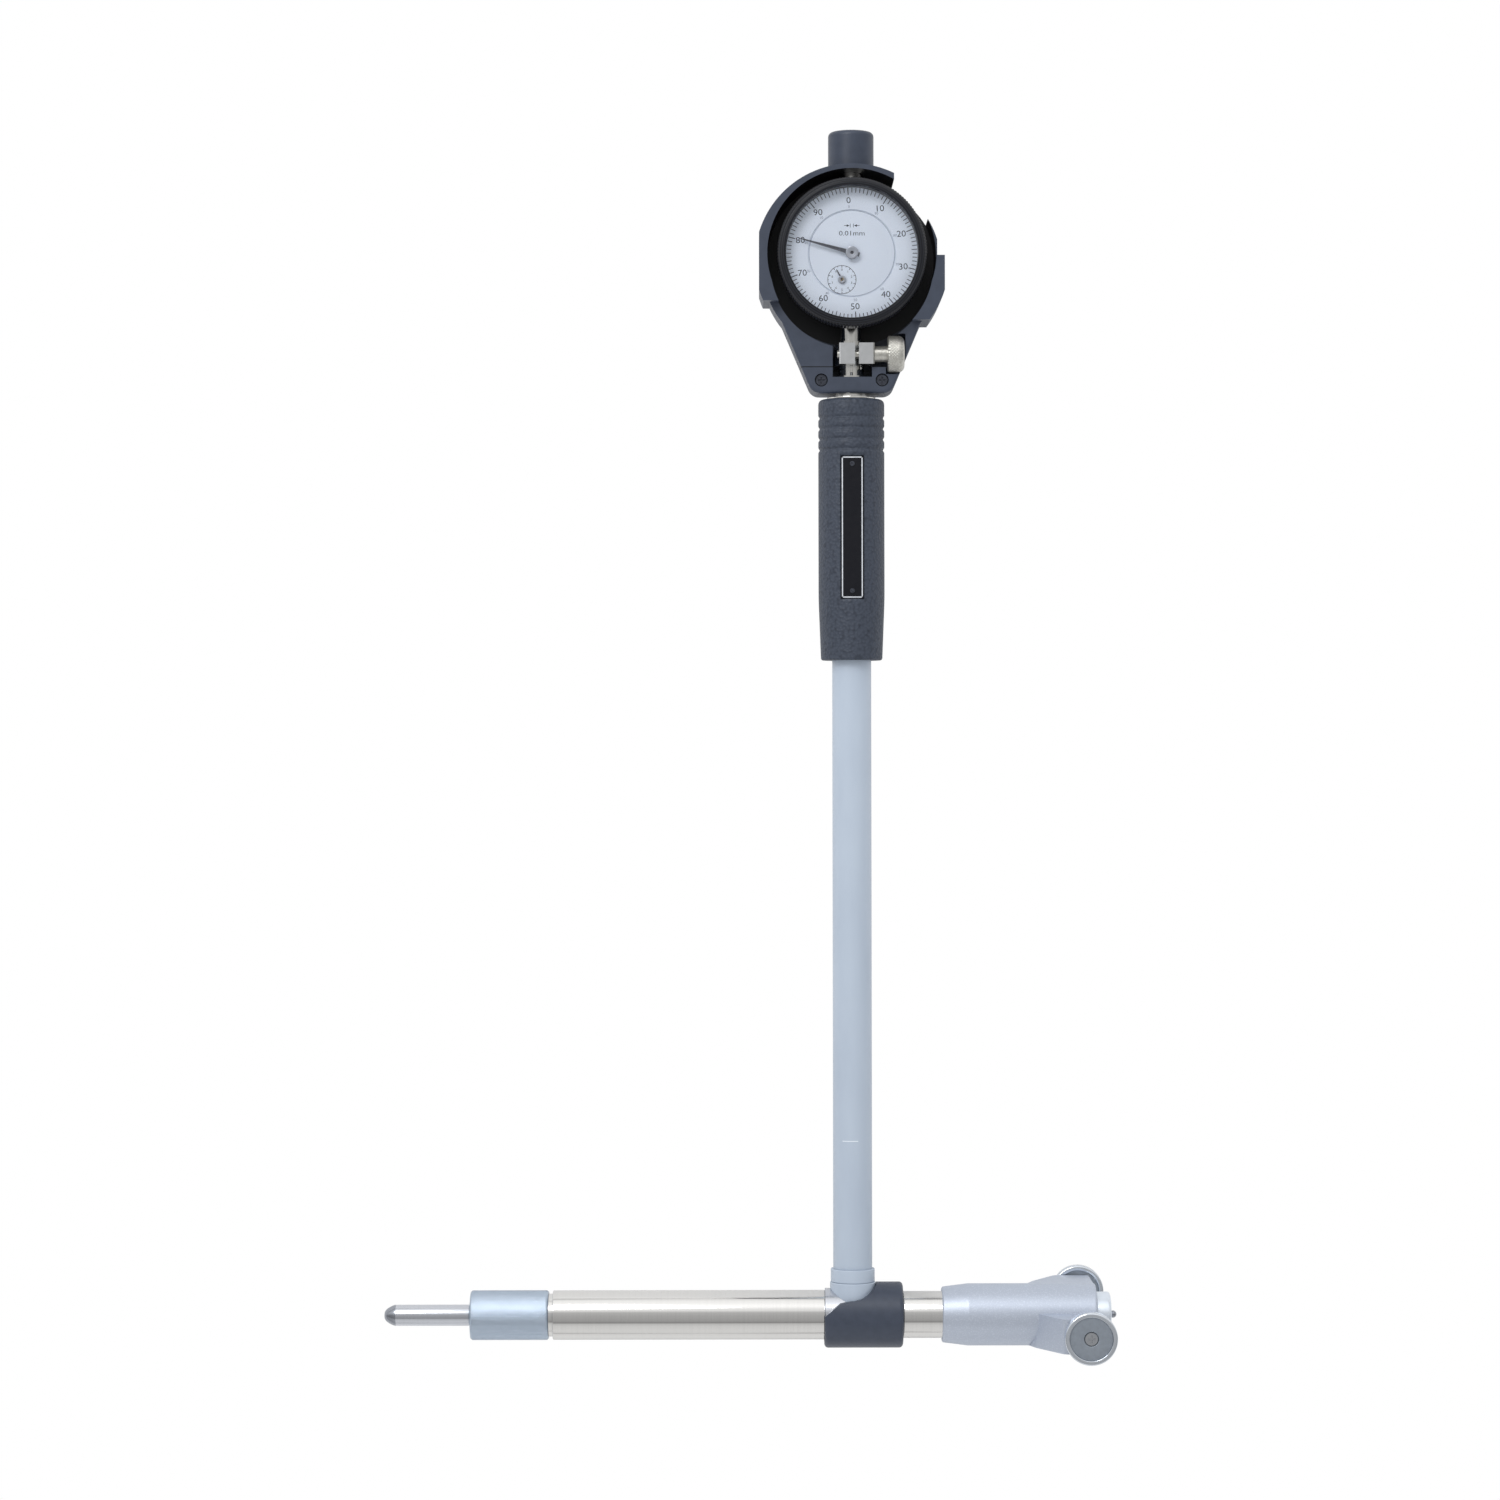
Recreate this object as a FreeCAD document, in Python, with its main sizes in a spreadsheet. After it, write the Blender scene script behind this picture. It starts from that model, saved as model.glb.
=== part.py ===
"""Two-point dial bore gauge with a long handle, lying on its back.

Frame: X runs along the measuring axis towards the contact ball, Y runs up the handle
towards the dial, and Z points at the reader of the dial. Every formula below measures from
the point where the handle's axis crosses the measuring axis; the document's own origin is
moved to the middle of the part's outline, at the level of its lowest face.
"""
import FreeCAD, Part
import math
import os
import re

import Sketcher

V = FreeCAD.Vector
doc = FreeCAD.newDocument("DialBoreGauge")

# ---------------------------------------------------------------------------
# Driving dimensions, in millimetres and degrees
# ---------------------------------------------------------------------------
SIZES = [
    # clearances
    ("fit_gap", 0.05, "between pieces that are pressed or screwed together"),
    ("run_gap", 0.06, "radial clearance of a shaft in its bearing"),
    ("touch_gap", 0.1, "between faces that push each other"),
    # handle tube and grip
    ("tube_dia", 15, "handle tube outside"),
    ("tube_bore", 12, "handle tube inside"),
    ("tube_top", 347, "top of the tube, inside the grip"),
    ("grip_length", 100.3, "length of the grip"),
    ("grip_over", 5.1, "upper end of the grip above the tube"),
    ("grip_dia", 25.4, "grip outside"),
    ("grip_end_dia", 23.6, "grip outside at its lower end"),
    ("grip_taper", 23.5, "length of the grip's lower taper"),
    ("grip_round", 2, "upper edge of the grip"),
    ("grip_low_round", 1, "lower edge of the grip"),
    ("groove_count", 4, "finger grooves round the grip"),
    ("groove_drop", 7.2, "first groove below the grip's top"),
    ("groove_pitch", 4.1, "from groove to groove"),
    ("groove_width", 1.8, "groove width at the surface"),
    ("groove_depth", 0.45, "groove depth"),
    ("plate_width", 8.6, "name plate"),
    ("plate_length", 54.5, "name plate"),
    ("plate_thick", 0.8, "name plate"),
    ("plate_drop", 22.4, "name plate's upper edge below the grip's top"),
    ("rivet_dia", 1.9, "plate rivet head"),
    ("rivet_inset", 3, "rivet from the end of the plate"),
    ("washer_dia", 18.6, "washer over the grip"),
    ("washer_thick", 0.9, "washer over the grip"),
    ("neck_dia", 12.2, "neck that the cover clamps"),
    ("neck_tall", 14, "neck above the tube"),
    ("neck_plug", 12, "depth of the neck's plug in the tube"),
    ("collet_dia", 9.6, "slotted collet that holds the stem"),
    ("collet_tall", 27.4, "collet above the tube"),
    ("collet_slot", 1, "width of the collet's slots"),
    # foot of the handle
    ("foot_dia", 17.5, "saddle under the tube"),
    ("foot_top", 12.8, "saddle top"),
    ("foot_low", 4.8, "lowest point of the saddle's skirt"),
    ("collar_dia", 16.9, "collar on the saddle"),
    ("collar_tall", 5.1, "collar height"),
    ("collar_round", 0.8, "collar edges"),
    # tee that joins the handle and the measuring head
    ("tee_dia", 20.4, "tee body"),
    ("tee_left", 10.7, "tee body, left of the handle's axis"),
    ("tee_right", 18.9, "tee body, right of the handle's axis"),
    ("tee_plug", 15, "plug of the tee in the anvil tube"),
    ("boss_tall", 22, "top of the boss inside the handle tube"),
    ("sleeve_dia", 25.2, "moulded sleeve round the tee"),
    ("sleeve_over", 0.3, "sleeve past each end of the tee"),
    ("sleeve_round", 1.5, "sleeve edges"),
    ("sleeve_scoop", 11.3, "radius of the sleeve's scoop round the foot"),
    ("sleeve_scoop_low", 6.4, "lowest point of the scoop"),
    # bell crank
    ("travel", 1.6, "travel of the contact point"),
    ("crank_arm", 6, "both arms of the bell crank"),
    ("crank_thick", 4, "bell crank"),
    ("crank_hub", 4.4, "diameter of the hub"),
    ("crank_nose", 2, "diameter of the rounded noses"),
    ("crank_bar", 1.4, "width of the arms"),
    ("crank_pin", 2.5, "diameter of the crank's pin"),
    ("crank_pin_half", 7, "half the length of the crank's pin"),
    ("crank_room", 0.3, "side clearance of the crank in its slot"),
    # push rod
    ("rod_dia", 4, "push rod"),
    ("rod_short", 1.9, "top of the push rod below the tube's top"),
    ("rod_button", 4.8, "diameter of the button on the push rod"),
    ("rod_button_tall", 1.6, "height of the button"),
    ("rod_collar", 7.2, "diameter of the collar under the rod's spring"),
    ("rod_collar_low", 36, "lower face of that collar"),
    ("rod_collar_tall", 2, "height of that collar"),
    ("bush_length", 6, "bushes in the handle tube"),
    ("low_bush", 56, "lower face of the first bush"),
    ("high_bush_down", 29, "second bush below the tube's top"),
    # anvil side
    ("anvil_tube_dia", 18.9, "anvil tube outside"),
    ("anvil_tube_bore", 14.9, "anvil tube inside"),
    ("anvil_tube_end", 115.4, "end of the anvil tube"),
    ("tube_round", 0.4, "edges of the polished tubes"),
    ("groove_dia", 16.4, "bush collar seen between tube and nut"),
    ("groove_gap", 1.5, "width of that collar"),
    ("nose_dia", 14, "threaded nose under the lock nut"),
    ("nose_length", 18, "threaded nose"),
    ("bush_plug", 16, "plug of the bush in the anvil tube"),
    ("nut_dia", 19.1, "knurled lock nut"),
    ("nut_length", 30, "knurled lock nut"),
    ("nut_chamfer", 0.7, "edges of the lock nut"),
    ("nut_gap", 0.1, "between the nut and the bush collar"),
    ("anvil_dia", 8.1, "anvil rod"),
    ("anvil_deep", 29.4, "inner end of the anvil rod inside the anvil tube"),
    ("anvil_step", 0.5, "between the lock nut and the step of the anvil rod"),
    ("anvil_out", 28.4, "anvil rod outside that step"),
    ("anvil_shank", 7, "anvil rod inside the lock nut and the bush"),
    ("anvil_nose_long", 4.4, "nose of the anvil"),
    ("anvil_nose", 4.2, "diameter of the nose's end"),
    ("tip_stud", 3, "diameter of the tip's stud in the rod"),
    # contact side
    ("head_tube_dia", 17.9, "head tube outside"),
    ("head_tube_bore", 13, "head tube inside"),
    ("head_tube_start", 9.5, "inner end of the head tube"),
    ("guide_end", 93.3, "end of the guide and of the head tube"),
    ("cap_dia", 17.2, "end cap"),
    ("cap_out", 5.7, "front of the end cap past the guide"),
    ("cap_step", 0.2, "gap between the guide and the cap's flange"),
    ("cap_round", 1.4, "front edge of the end cap"),
    ("cap_plug", 6.4, "plug of the cap in the head tube"),
    ("plunger_dia", 6, "plunger"),
    ("plunger_out", 1.7, "outer end of the plunger past the guide"),
    ("plunger_push", 2, "diameter of the plunger's pushing end"),
    ("plunger_push_long", 3, "length of that end"),
    ("plunger_collar", 8.8, "diameter of the spring collar"),
    ("plunger_collar_back", 13, "plunger's spring collar before the peg"),
    ("plunger_collar_wide", 2, "spring collar"),
    ("plunger_bush_out", 1.1, "plunger's bush past the tee"),
    ("plunger_bush_long", 7, "plunger's bush"),
    ("contact_ball", 2.8, "contact ball"),
    ("contact_out", 2.5, "contact ball past the end cap"),
    ("contact_stud", 2, "stud behind the ball"),
    # guide with rollers
    ("guide_length", 59.1, "length of the guide"),
    ("guide_dia", 23.7, "guide"),
    ("guide_small_dia", 21.2, "guide's left end"),
    ("guide_taper", 10, "taper at the guide's left end"),
    ("guide_round", 0.8, "edges of the guide"),
    ("guide_travel", 6, "how far the guide slides back"),
    ("arm_top", 1.7, "upper face of the front arm"),
    ("arm_low", 11.4, "lower face of the front arm"),
    ("arm_root_back", 27.3, "where the arm leaves the guide, behind its end"),
    ("arm_ramp_back", 23.3, "foot of the arm's ramp behind the guide's end"),
    ("arm_crest_back", 13.8, "crest of the arm's ramp behind the guide's end"),
    ("arm_gap", 1, "between the arm and the roller"),
    ("arm_round", 3, "crest of the ramp"),
    ("arm_boss", 6.4, "boss under the roller"),
    ("roller_back", 4.2, "roller axis behind the guide's end"),
    ("roller_offset", 4.85, "roller axis from the measuring axis"),
    ("roller_mid", 30, "middle of the roller from the measuring axis"),
    ("roller_dia", 20, "roller"),
    ("roller_width", 5, "roller"),
    ("roller_rim", 1.8, "bright rim of the roller"),
    ("roller_round", 0.6, "edges of the rim"),
    ("roller_sink", 1.4, "depth of the counterbore for the screw"),
    ("roller_dish", 0.7, "depth of the roller's web under the rim"),
    ("roller_screw", 4.8, "head of the roller's shoulder screw"),
    ("roller_screw_tall", 1.2, "head of the roller's shoulder screw"),
    ("roller_counterbore", 5.5, "counterbore for that head"),
    ("roller_shoulder", 3.2, "shoulder that the roller turns on"),
    ("roller_thread", 6, "thread of that screw in the arm"),
    ("key_dia", 3, "peg that keeps the guide straight"),
    ("key_back", 36.3, "peg behind the guide's end"),
    ("key_ring", 6, "width of the peg's ring"),
    # springs
    ("plunger_wire", 0.7, "plunger spring"),
    ("guide_wire", 0.8, "guide spring"),
    ("rod_wire", 0.7, "push rod spring"),
    ("return_wire", 0.4, "dial's return spring"),
    # protective cover of the dial
    ("cover_gap", 2, "cover above the grip"),
    ("cover_back", 13, "back of the cover behind the spindle"),
    ("cover_front", 8.5, "front face of the cover"),
    ("cover_wall", 2.5, "back wall of the cover"),
    ("cover_round", 4.5, "lower corners of the cover"),
    ("cover_edge", 1.2, "outer edges of the cover's back"),
    ("funnel_half", 15.2, "half width of the cover at its lower end"),
    ("funnel_flare", 0.4256, "growth of that half width per millimetre up the handle"),
    ("funnel_down", 17.9, "upper end of the straight sides below the dial's centre"),
    ("shell_down", 4.2, "centre of the shell below the dial's centre"),
    ("shell_wall", 2, "shell round the recess"),
    ("shell_cut", 1.5, "depth of the flats at the shell's sides"),
    ("guard_down", 3.05, "centre of the guard below the dial's centre"),
    ("guard_wall", 4.8, "raised guard round the recess"),
    ("guard_cut", 1.7, "depth of the flats at the guard's sides"),
    ("guard_front", 15, "front edge of the raised guard"),
    ("guard_left_down", 18.1, "lower end of the left guard below the dial's centre"),
    ("guard_end_top", 16.1, "end of the guard right of the cap"),
    ("guard_right_down", 25.5, "lower end of the right guard below the dial's centre"),
    ("guard_right_up", 0.9, "upper end of the right guard below the dial's centre"),
    ("recess_down", 4.6, "centre of the recess's lower arc below the dial's centre"),
    ("recess_tuck", 1.2, "lower arc of the recess, smaller than the one round the bezel"),
    ("recess_room", 3.8, "recess round the bezel"),
    ("window_left", 7.3, "window round the stem clamp"),
    ("window_right", 7.8, "window round the stem clamp"),
    ("window_up", 6.1, "lower edge of the window above the cover's lower end"),
    ("window_deep", 8.6, "floor of the window behind the spindle"),
    ("seam_up", 9.9, "seam of the clamp plate above the cover's lower end"),
    ("thumb_slot", 20.6, "outer side of the slot for the clamp screw"),
    ("thumb_floor", 1.5, "depth of that slot behind the spindle"),
    ("thumb_room", 0.7, "clearance round the screw head"),
    ("cap_tower", 17.5, "diameter of the cap over the spindle"),
    ("tower_room", 2.4, "between the spindle cap and the cover"),
    ("tower_wall", 2.6, "wall over the spindle cap"),
    ("tower_round", 1.8, "upper edge of that cap"),
    ("cover_screw_side", 11.65, "cover screws from the handle's axis"),
    ("cover_screw_up", 4.9, "cover screws above the cover's lower end"),
    ("cover_screw_dia", 4.2, "cover screw head"),
    ("cover_screw_sink", 1, "cover screw head under the face"),
    ("cover_screw_long", 9, "cover screw length"),
    ("cover_screw_thread", 2.4, "cover screw thread"),
    # stem clamp
    ("clamp_down", 9.5, "lower face of the stem clamp below the collet's top"),
    ("clamp_tall", 8.1, "height of the stem clamp"),
    ("clamp_dia", 13.2, "ring of the stem clamp"),
    ("ear_front", 11.5, "front of the clamp's ears"),
    ("ear_wide", 6, "width of each ear"),
    ("ear_middle", 1.95, "middle of the split"),
    ("ear_split", 1.5, "width of the split"),
    ("ear_chamfer", 0.5, "front edges of the ears"),
    ("thumb_height", 7.6, "clamp screw in front of the spindle"),
    ("thumb_thread", 3.2, "clamp screw thread"),
    ("thumb_shank", 6.2, "clamp screw shank"),
    ("thumb_shank_long", 5, "clamp screw shank"),
    ("thumb_head", 14.2, "knurled head of the clamp screw"),
    ("thumb_head_long", 6.4, "knurled head of the clamp screw"),
    ("thumb_dome", 2.4, "rounded outer edge of the knurled head"),
    ("thumb_end", 0.7, "thread past the left ear"),
    # dial indicator
    ("dial_up", 32.5, "centre of the dial above the collet"),
    ("case_dia", 52, "indicator case"),
    ("case_wall", 1.6, "wall of the case"),
    ("case_ledge", 1.4, "ledge that carries the upper bridge"),
    ("case_back", 7, "back of the case behind the spindle"),
    ("case_front", 11.4, "front of the case"),
    ("back_thick", 1.4, "back plate of the indicator"),
    ("back_screw_inset", 4, "back plate's screws inside the case's outside"),
    ("back_screw_dia", 2.6, "back plate's screws"),
    ("back_screw_long", 2.6, "back plate's screws"),
    ("lug_dia", 5, "lugs that take the back plate's screws"),
    ("stem_dia", 8, "stem"),
    ("stem_down", 44.5, "lower end of the stem below the dial's centre"),
    ("spindle_dia", 4.8, "spindle"),
    ("tip_tall", 10.9, "contact tip above the push rod"),
    ("spindle_up", 39.5, "upper end of the spindle above the dial's centre"),
    ("tip_ball", 3, "ball of the contact tip"),
    ("tip_neck", 2.4, "stud of the contact tip in the spindle"),
    ("guide_pin_dia", 1.6, "pin that keeps the spindle from turning"),
    ("guide_pin_up", 11, "that pin above the dial's centre"),
    ("guide_pin_reach", 9.5, "end of that pin from the spindle's axis"),
    ("spring_side", 7.5, "return spring from the spindle's axis"),
    ("spring_post_down", 17.5, "post of the return spring below the dial's centre"),
    ("stem_cap_dia", 8, "cap over the spindle's upper end"),
    ("stem_cap_bore", 5.6, "cap over the spindle's upper end"),
    ("stem_cap_room", 3.6, "cap above the spindle's upper end"),
    ("bezel_skirt", 2.5, "bezel outside the case"),
    ("bezel_back", 9.8, "back of the bezel"),
    ("bezel_front", 19.8, "front of the bezel"),
    ("bezel_bevel", 1.6, "bevel round the bezel's front"),
    ("bezel_lip", 0.8, "lip over the crystal"),
    ("face_rim", 0.9, "bezel's opening inside the case's outside"),
    ("crystal_thick", 1.4, "crystal"),
    ("crystal_edge", 0.7, "crystal edge under the lip"),
    ("face_level", 13.1, "front of the graduated ring"),
    ("face_thick", 0.6, "graduated ring and inner disc"),
    ("disc_dia", 33, "inner disc"),
    ("disc_drop", 0.3, "inner disc under the graduated ring"),
    ("foot_pin", 1.6, "feet of the inner disc"),
    ("foot_pin_side", 12, "feet of the inner disc from the dial's centre"),
    # movement of the indicator
    ("rack_pitch", 0.625, "tooth pitch of the rack"),
    ("rack_teeth", 14, "teeth in the rack"),
    ("pinion_teeth", 16, "pinion in the rack"),
    ("wheel_teeth", 100, "large wheels"),
    ("centre_teeth", 10, "centre pinion"),
    ("wheel_centres", 10.75, "from the dial's centre to each large wheel"),
    ("counter_angle", 249.3, "direction of the turn counter from the dial's centre"),
    ("wheel_thick", 0.6, "large wheels"),
    ("wheel_level", 4.6, "back of the rack pinion's wheel"),
    ("take_up_level", 6.6, "back of the backlash wheel"),
    ("pinion_wide", 2.4, "pinion in the rack"),
    ("arbor_dia", 1.2, "arbors"),
    ("low_bridge_level", 3, "back of the lower bridge"),
    ("bridge_thick", 1, "bridges"),
    ("high_bridge_level", 8.8, "back of the upper bridge"),
    ("low_bridge_inset", 6, "lower bridge inside the case's outside"),
    ("pillar_dia", 2.4, "pillars between the bridges"),
    ("pillar_inset", 2.5, "pillars inside the lower bridge's edge"),
    ("hand_level", 14.8, "back of the main pointer"),
    ("hand_thick", 0.35, "pointers"),
    ("hand_reach", 21.8, "main pointer"),
    ("hand_tail", 2.4, "main pointer past its hub"),
    ("hand_root", 1.5, "width of the main pointer at its hub"),
    ("hand_tip", 0.35, "width of the main pointer at its end"),
    ("hand_hub", 5, "hub of the main pointer"),
    ("hand_hub_tall", 1.3, "hub of the main pointer"),
    ("hand_angle", 164.5, "direction of the main pointer from +X"),
    ("counter_level", 13.5, "back of the counter's pointer"),
    ("counter_reach", 4.6, "counter's pointer"),
    ("counter_hub", 3.1, "hub of the counter's pointer"),
    ("counter_hub_tall", 0.7, "hub of the counter's pointer"),
    ("counter_hand_angle", 118.6, "direction of the counter's pointer from +X"),
]

WORKED_OUT = [
    ("grip_top", "tube_top + grip_over"),
    ("grip_bottom", "grip_top - grip_length"),
    ("neck_top", "tube_top + neck_tall"),
    ("collet_top", "tube_top + collet_tall"),
    ("rod_top", "tube_top - rod_short"),
    ("high_bush", "tube_top - high_bush_down"),
    ("dial_at", "collet_top + dial_up"),
    ("cover_low", "grip_top + cover_gap"),
    ("window_low", "cover_low + window_up"),
    ("seam_at", "cover_low + seam_up"),
    ("clamp_low", "collet_top - clamp_down"),
    ("stem_low", "dial_at - stem_down"),
    ("spindle_low", "rod_top + tip_tall"),
    ("spindle_top", "dial_at + spindle_up"),
    ("stem_cap_top", "spindle_top + stem_cap_room"),
    ("tower_top", "stem_cap_top + tower_room + tower_wall"),
    ("face_dia", "case_dia - 2 * face_rim"),
    ("bezel_dia", "case_dia + 2 * bezel_skirt"),
    ("back_screw_circle", "case_dia - 2 * back_screw_inset"),
    ("low_bridge_dia", "case_dia - 2 * low_bridge_inset"),
    ("pillar_side", "low_bridge_dia / 2 - pillar_inset"),
    ("recess_high_radius", "bezel_dia / 2 + recess_room"),
    ("recess_radius", "recess_high_radius - recess_tuck"),
    ("shell_radius", "recess_high_radius + shell_wall"),
    ("guard_radius", "recess_high_radius + guard_wall"),
    ("shell_flat", "shell_radius - shell_cut"),
    ("guard_flat", "guard_radius - guard_cut"),
    ("recess_at", "dial_at - recess_down"),
    ("shell_at", "dial_at - shell_down"),
    ("guard_at", "dial_at - guard_down"),
    ("guard_end_left", "dial_at - guard_left_down"),
    ("guard_right_low", "dial_at - guard_right_down"),
    ("guard_right_high", "dial_at - guard_right_up"),
    ("funnel_top", "dial_at - funnel_down"),
    ("anvil_inner", "anvil_tube_end - anvil_deep"),
    ("guide_start", "guide_end - guide_length"),
    ("roller_at", "guide_end - roller_back"),
    ("arm_root", "guide_end - arm_root_back"),
    ("arm_ramp", "guide_end - arm_ramp_back"),
    ("arm_crest", "guide_end - arm_crest_back"),
    ("arm_face", "roller_mid - roller_width / 2 - arm_gap"),
    ("plunger_end", "guide_end + plunger_out"),
    ("cap_end", "guide_end + cap_out"),
    ("contact_reach", "cap_end + contact_out"),
    ("key_at", "guide_end - key_back"),
    ("plunger_bush_at", "tee_right + plunger_bush_out"),
    ("plunger_collar_at", "key_at - plunger_collar_back"),
    ("origin_y", "(roller_offset + roller_dia / 2 - tower_top) / 2"),
    ("origin_z", "roller_mid + roller_width / 2"),
    ("grip_bore", "tube_dia + 2 * fit_gap"),
    ("collet_bore", "stem_dia + 2 * fit_gap"),
    ("plate_top", "grip_top - plate_drop"),
    ("plate_seat", "grip_dia / 2 - plate_thick - 0.3"),
    ("rod_low", "crank_arm + crank_nose / 2 + touch_gap"),
    ("plunger_start", "crank_arm + crank_nose / 2 + touch_gap"),
    ("pivot", "crank_arm"),
    ("slot_half", "crank_thick / 2 + crank_room"),
    ("nut_start", "anvil_tube_end + groove_gap + nut_gap"),
    ("nut_end", "nut_start + nut_length"),
    ("anvil_tip_base", "nut_end + anvil_step + anvil_out"),
    ("anvil_end", "anvil_tip_base + anvil_nose_long"),
    ("origin_x", "(anvil_end - contact_reach) / 2"),
    ("cap_start", "guide_end + cap_step"),
    ("arm_height", "arm_top + arm_low"),
    ("web_half", "roller_width / 2 - roller_dish"),
    ("ear_left", "ear_middle - ear_split / 2 - ear_wide"),
    ("ear_right", "ear_middle + ear_split / 2 + ear_wide"),
    ("clamp_mid", "clamp_low + clamp_tall / 2"),
    ("head_start", "ear_right + fit_gap + thumb_shank_long"),
    ("recess_floor", "cover_wall - cover_back"),
    ("pinion_radius", "rack_pitch * pinion_teeth / (2 * pi)"),
    ("counter_x", "wheel_centres * cos(counter_angle)"),
    ("counter_y", "wheel_centres * sin(counter_angle)"),
    ("take_up_angle", "counter_angle + 144"),
    ("take_up_x", "wheel_centres * cos(take_up_angle)"),
    ("take_up_y", "wheel_centres * sin(take_up_angle)"),
    ("wheel_module", "2 * wheel_centres / (wheel_teeth + centre_teeth)"),
    ("rack_line", "counter_x + pinion_radius"),
    ("disc_level", "face_level - disc_drop - face_thick"),
    ("crystal_level", "bezel_front - bezel_lip - crystal_thick"),
]

# ---------------------------------------------------------------------------
# The sheet, the worked-out values and small helpers
# ---------------------------------------------------------------------------
sheet = doc.addObject("Spreadsheet::Sheet", "Dims")
for row, (alias, value, meaning) in enumerate(SIZES, start=1):
    sheet.set("A%d" % row, alias)
    sheet.set("B%d" % row, str(value))
    sheet.set("C%d" % row, meaning)
    sheet.setAlias("B%d" % row, alias)
doc.recompute()

derived = doc.addObject("App::VarSet", "Derived")
DRIVING_NAMES = {alias for alias, _, _ in SIZES}
DERIVED_NAMES = {alias for alias, _ in WORKED_OUT}


def formula(text):
    """The FreeCAD expression for a formula that uses the plain names above."""

    def with_owner(match):
        word = match.group(0)
        if word in DRIVING_NAMES:
            return "Dims." + word
        if word in DERIVED_NAMES:
            return "Derived." + word
        return word

    return re.sub(r"[a-z_][a-z_0-9]*", with_owner, str(text))


for alias, text in WORKED_OUT:
    derived.addProperty("App::PropertyFloat", alias)
    derived.setExpression(alias, formula(text))
doc.recompute()


def size(name):
    """The present value of a driving or worked-out dimension."""
    if name in DRIVING_NAMES:
        return float(sheet.get(name))
    return float(getattr(derived, name))


def bind(item, **values):
    for name, text in values.items():
        item.setExpression(name, formula(text))
    return item


def place(item, start, turn=None):
    """Put the item's own origin at start, measured from the crossing of the two axes."""
    if turn is not None:
        item.Placement = FreeCAD.Placement(V(), turn)
    for axis, text in zip("xyz", start):
        item.setExpression("Placement.Base." + axis, formula("origin_%s + (%s)" % (axis, text)))
    return item


# Turns that carry a shape's own axis onto the part's axes
Y_TO = {
    "+Y": FreeCAD.Rotation(),
    "+X": FreeCAD.Rotation(V(0, 0, 1), -90),
    "-X": FreeCAD.Rotation(V(0, 0, 1), 90),
    "+Z": FreeCAD.Rotation(V(1, 0, 0), 90),
    "-Z": FreeCAD.Rotation(V(1, 0, 0), -90),
}
Z_TO = {
    "+Z": FreeCAD.Rotation(),
    "-Z": FreeCAD.Rotation(V(1, 0, 0), 180),
    "+X": FreeCAD.Rotation(V(0, 1, 0), 90),
    "-X": FreeCAD.Rotation(V(0, 1, 0), -90),
    "+Y": FreeCAD.Rotation(V(1, 0, 0), -90),
    "-Y": FreeCAD.Rotation(V(1, 0, 0), 90),
}


def polygon_sketch(body, name, corners):
    """A closed polygon on the body's XY plane, each corner bound to a pair of formulas."""
    plane = [f for f in body.Origin.OriginFeatures if f.Role == "XY_Plane"][0]
    sketch = body.newObject("Sketcher::SketchObject", name)
    sketch.AttachmentSupport = [(plane, "")]
    sketch.MapMode = "FlatFace"
    count = len(corners)
    ring = [V(math.cos(2 * math.pi * i / count), math.sin(2 * math.pi * i / count), 0)
            for i in range(count)]
    for i in range(count):
        sketch.addGeometry(Part.LineSegment(ring[i], ring[(i + 1) % count]))
    for i in range(count):
        sketch.addConstraint(Sketcher.Constraint("Coincident", i, 2, (i + 1) % count, 1))
    for i, corner in enumerate(corners):
        for kind, text, start in (("DistanceX", corner[0], ring[i].x), ("DistanceY", corner[1], ring[i].y)):
            index = sketch.addConstraint(Sketcher.Constraint(kind, -1, 1, i, 1, start))
            sketch.setExpression("Constraints[%d]" % index, formula(text))
    return sketch


def round_edges(body, radius, chosen, kind="Fillet"):
    """Fillet or chamfer the edges of the body's present shape that the test picks."""
    doc.recompute()
    base = body.Tip
    own = base.Shape.Edges
    names = ["Edge%d" % (i + 1) for i, edge in enumerate(own) if chosen(edge)]
    if not names:
        raise RuntimeError("no edge to round on " + body.Label)
    feature = body.newObject("PartDesign::" + kind, body.Name + kind)
    feature.Base = (base, names)
    bind(feature, **{"Radius" if kind == "Fillet" else "Size": radius})
    return feature


def turned(name, axis, start, profile, rounds=None):
    """A turned body. The profile lists (radius, distance along the axis) corners from start.

    rounds maps a formula for an edge radius to the profile corners that it rounds.
    """
    body = doc.addObject("PartDesign::Body", name)
    sketch = polygon_sketch(body, name + "_profile", profile)
    spin = body.newObject("PartDesign::Revolution", name + "_turning")
    spin.Profile = sketch
    spin.ReferenceAxis = (sketch, ["V_Axis"])
    spin.Angle = 360
    doc.recompute()
    for radius, corners in (rounds or {}).items():
        points = [sketch.Geometry[i].StartPoint for i in corners]

        def on_corner(edge):
            if not isinstance(edge.Curve, Part.Circle):
                return False
            ring = (edge.Curve.Radius, edge.Curve.Center.y)
            return any(abs(ring[0] - p.x) < 1e-4 and abs(ring[1] - p.y) < 1e-4 for p in points)

        round_edges(body, radius, on_corner)
    return place(body, start, Y_TO[axis])


def padded(name, turn, start, outline, depth):
    """A polygon padded along its normal, which is Z before the turn."""
    body = doc.addObject("PartDesign::Body", name)
    sketch = polygon_sketch(body, name + "_outline", outline)
    pad = body.newObject("PartDesign::Pad", name + "_pad")
    pad.Profile = sketch
    bind(pad, Length=depth)
    return place(body, start, turn)


def cylinder(name, axis, start, dia, length):
    item = bind(doc.addObject("Part::Cylinder", name), Radius="(%s) / 2" % dia, Height=length)
    return place(item, start, Z_TO[axis])


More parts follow.
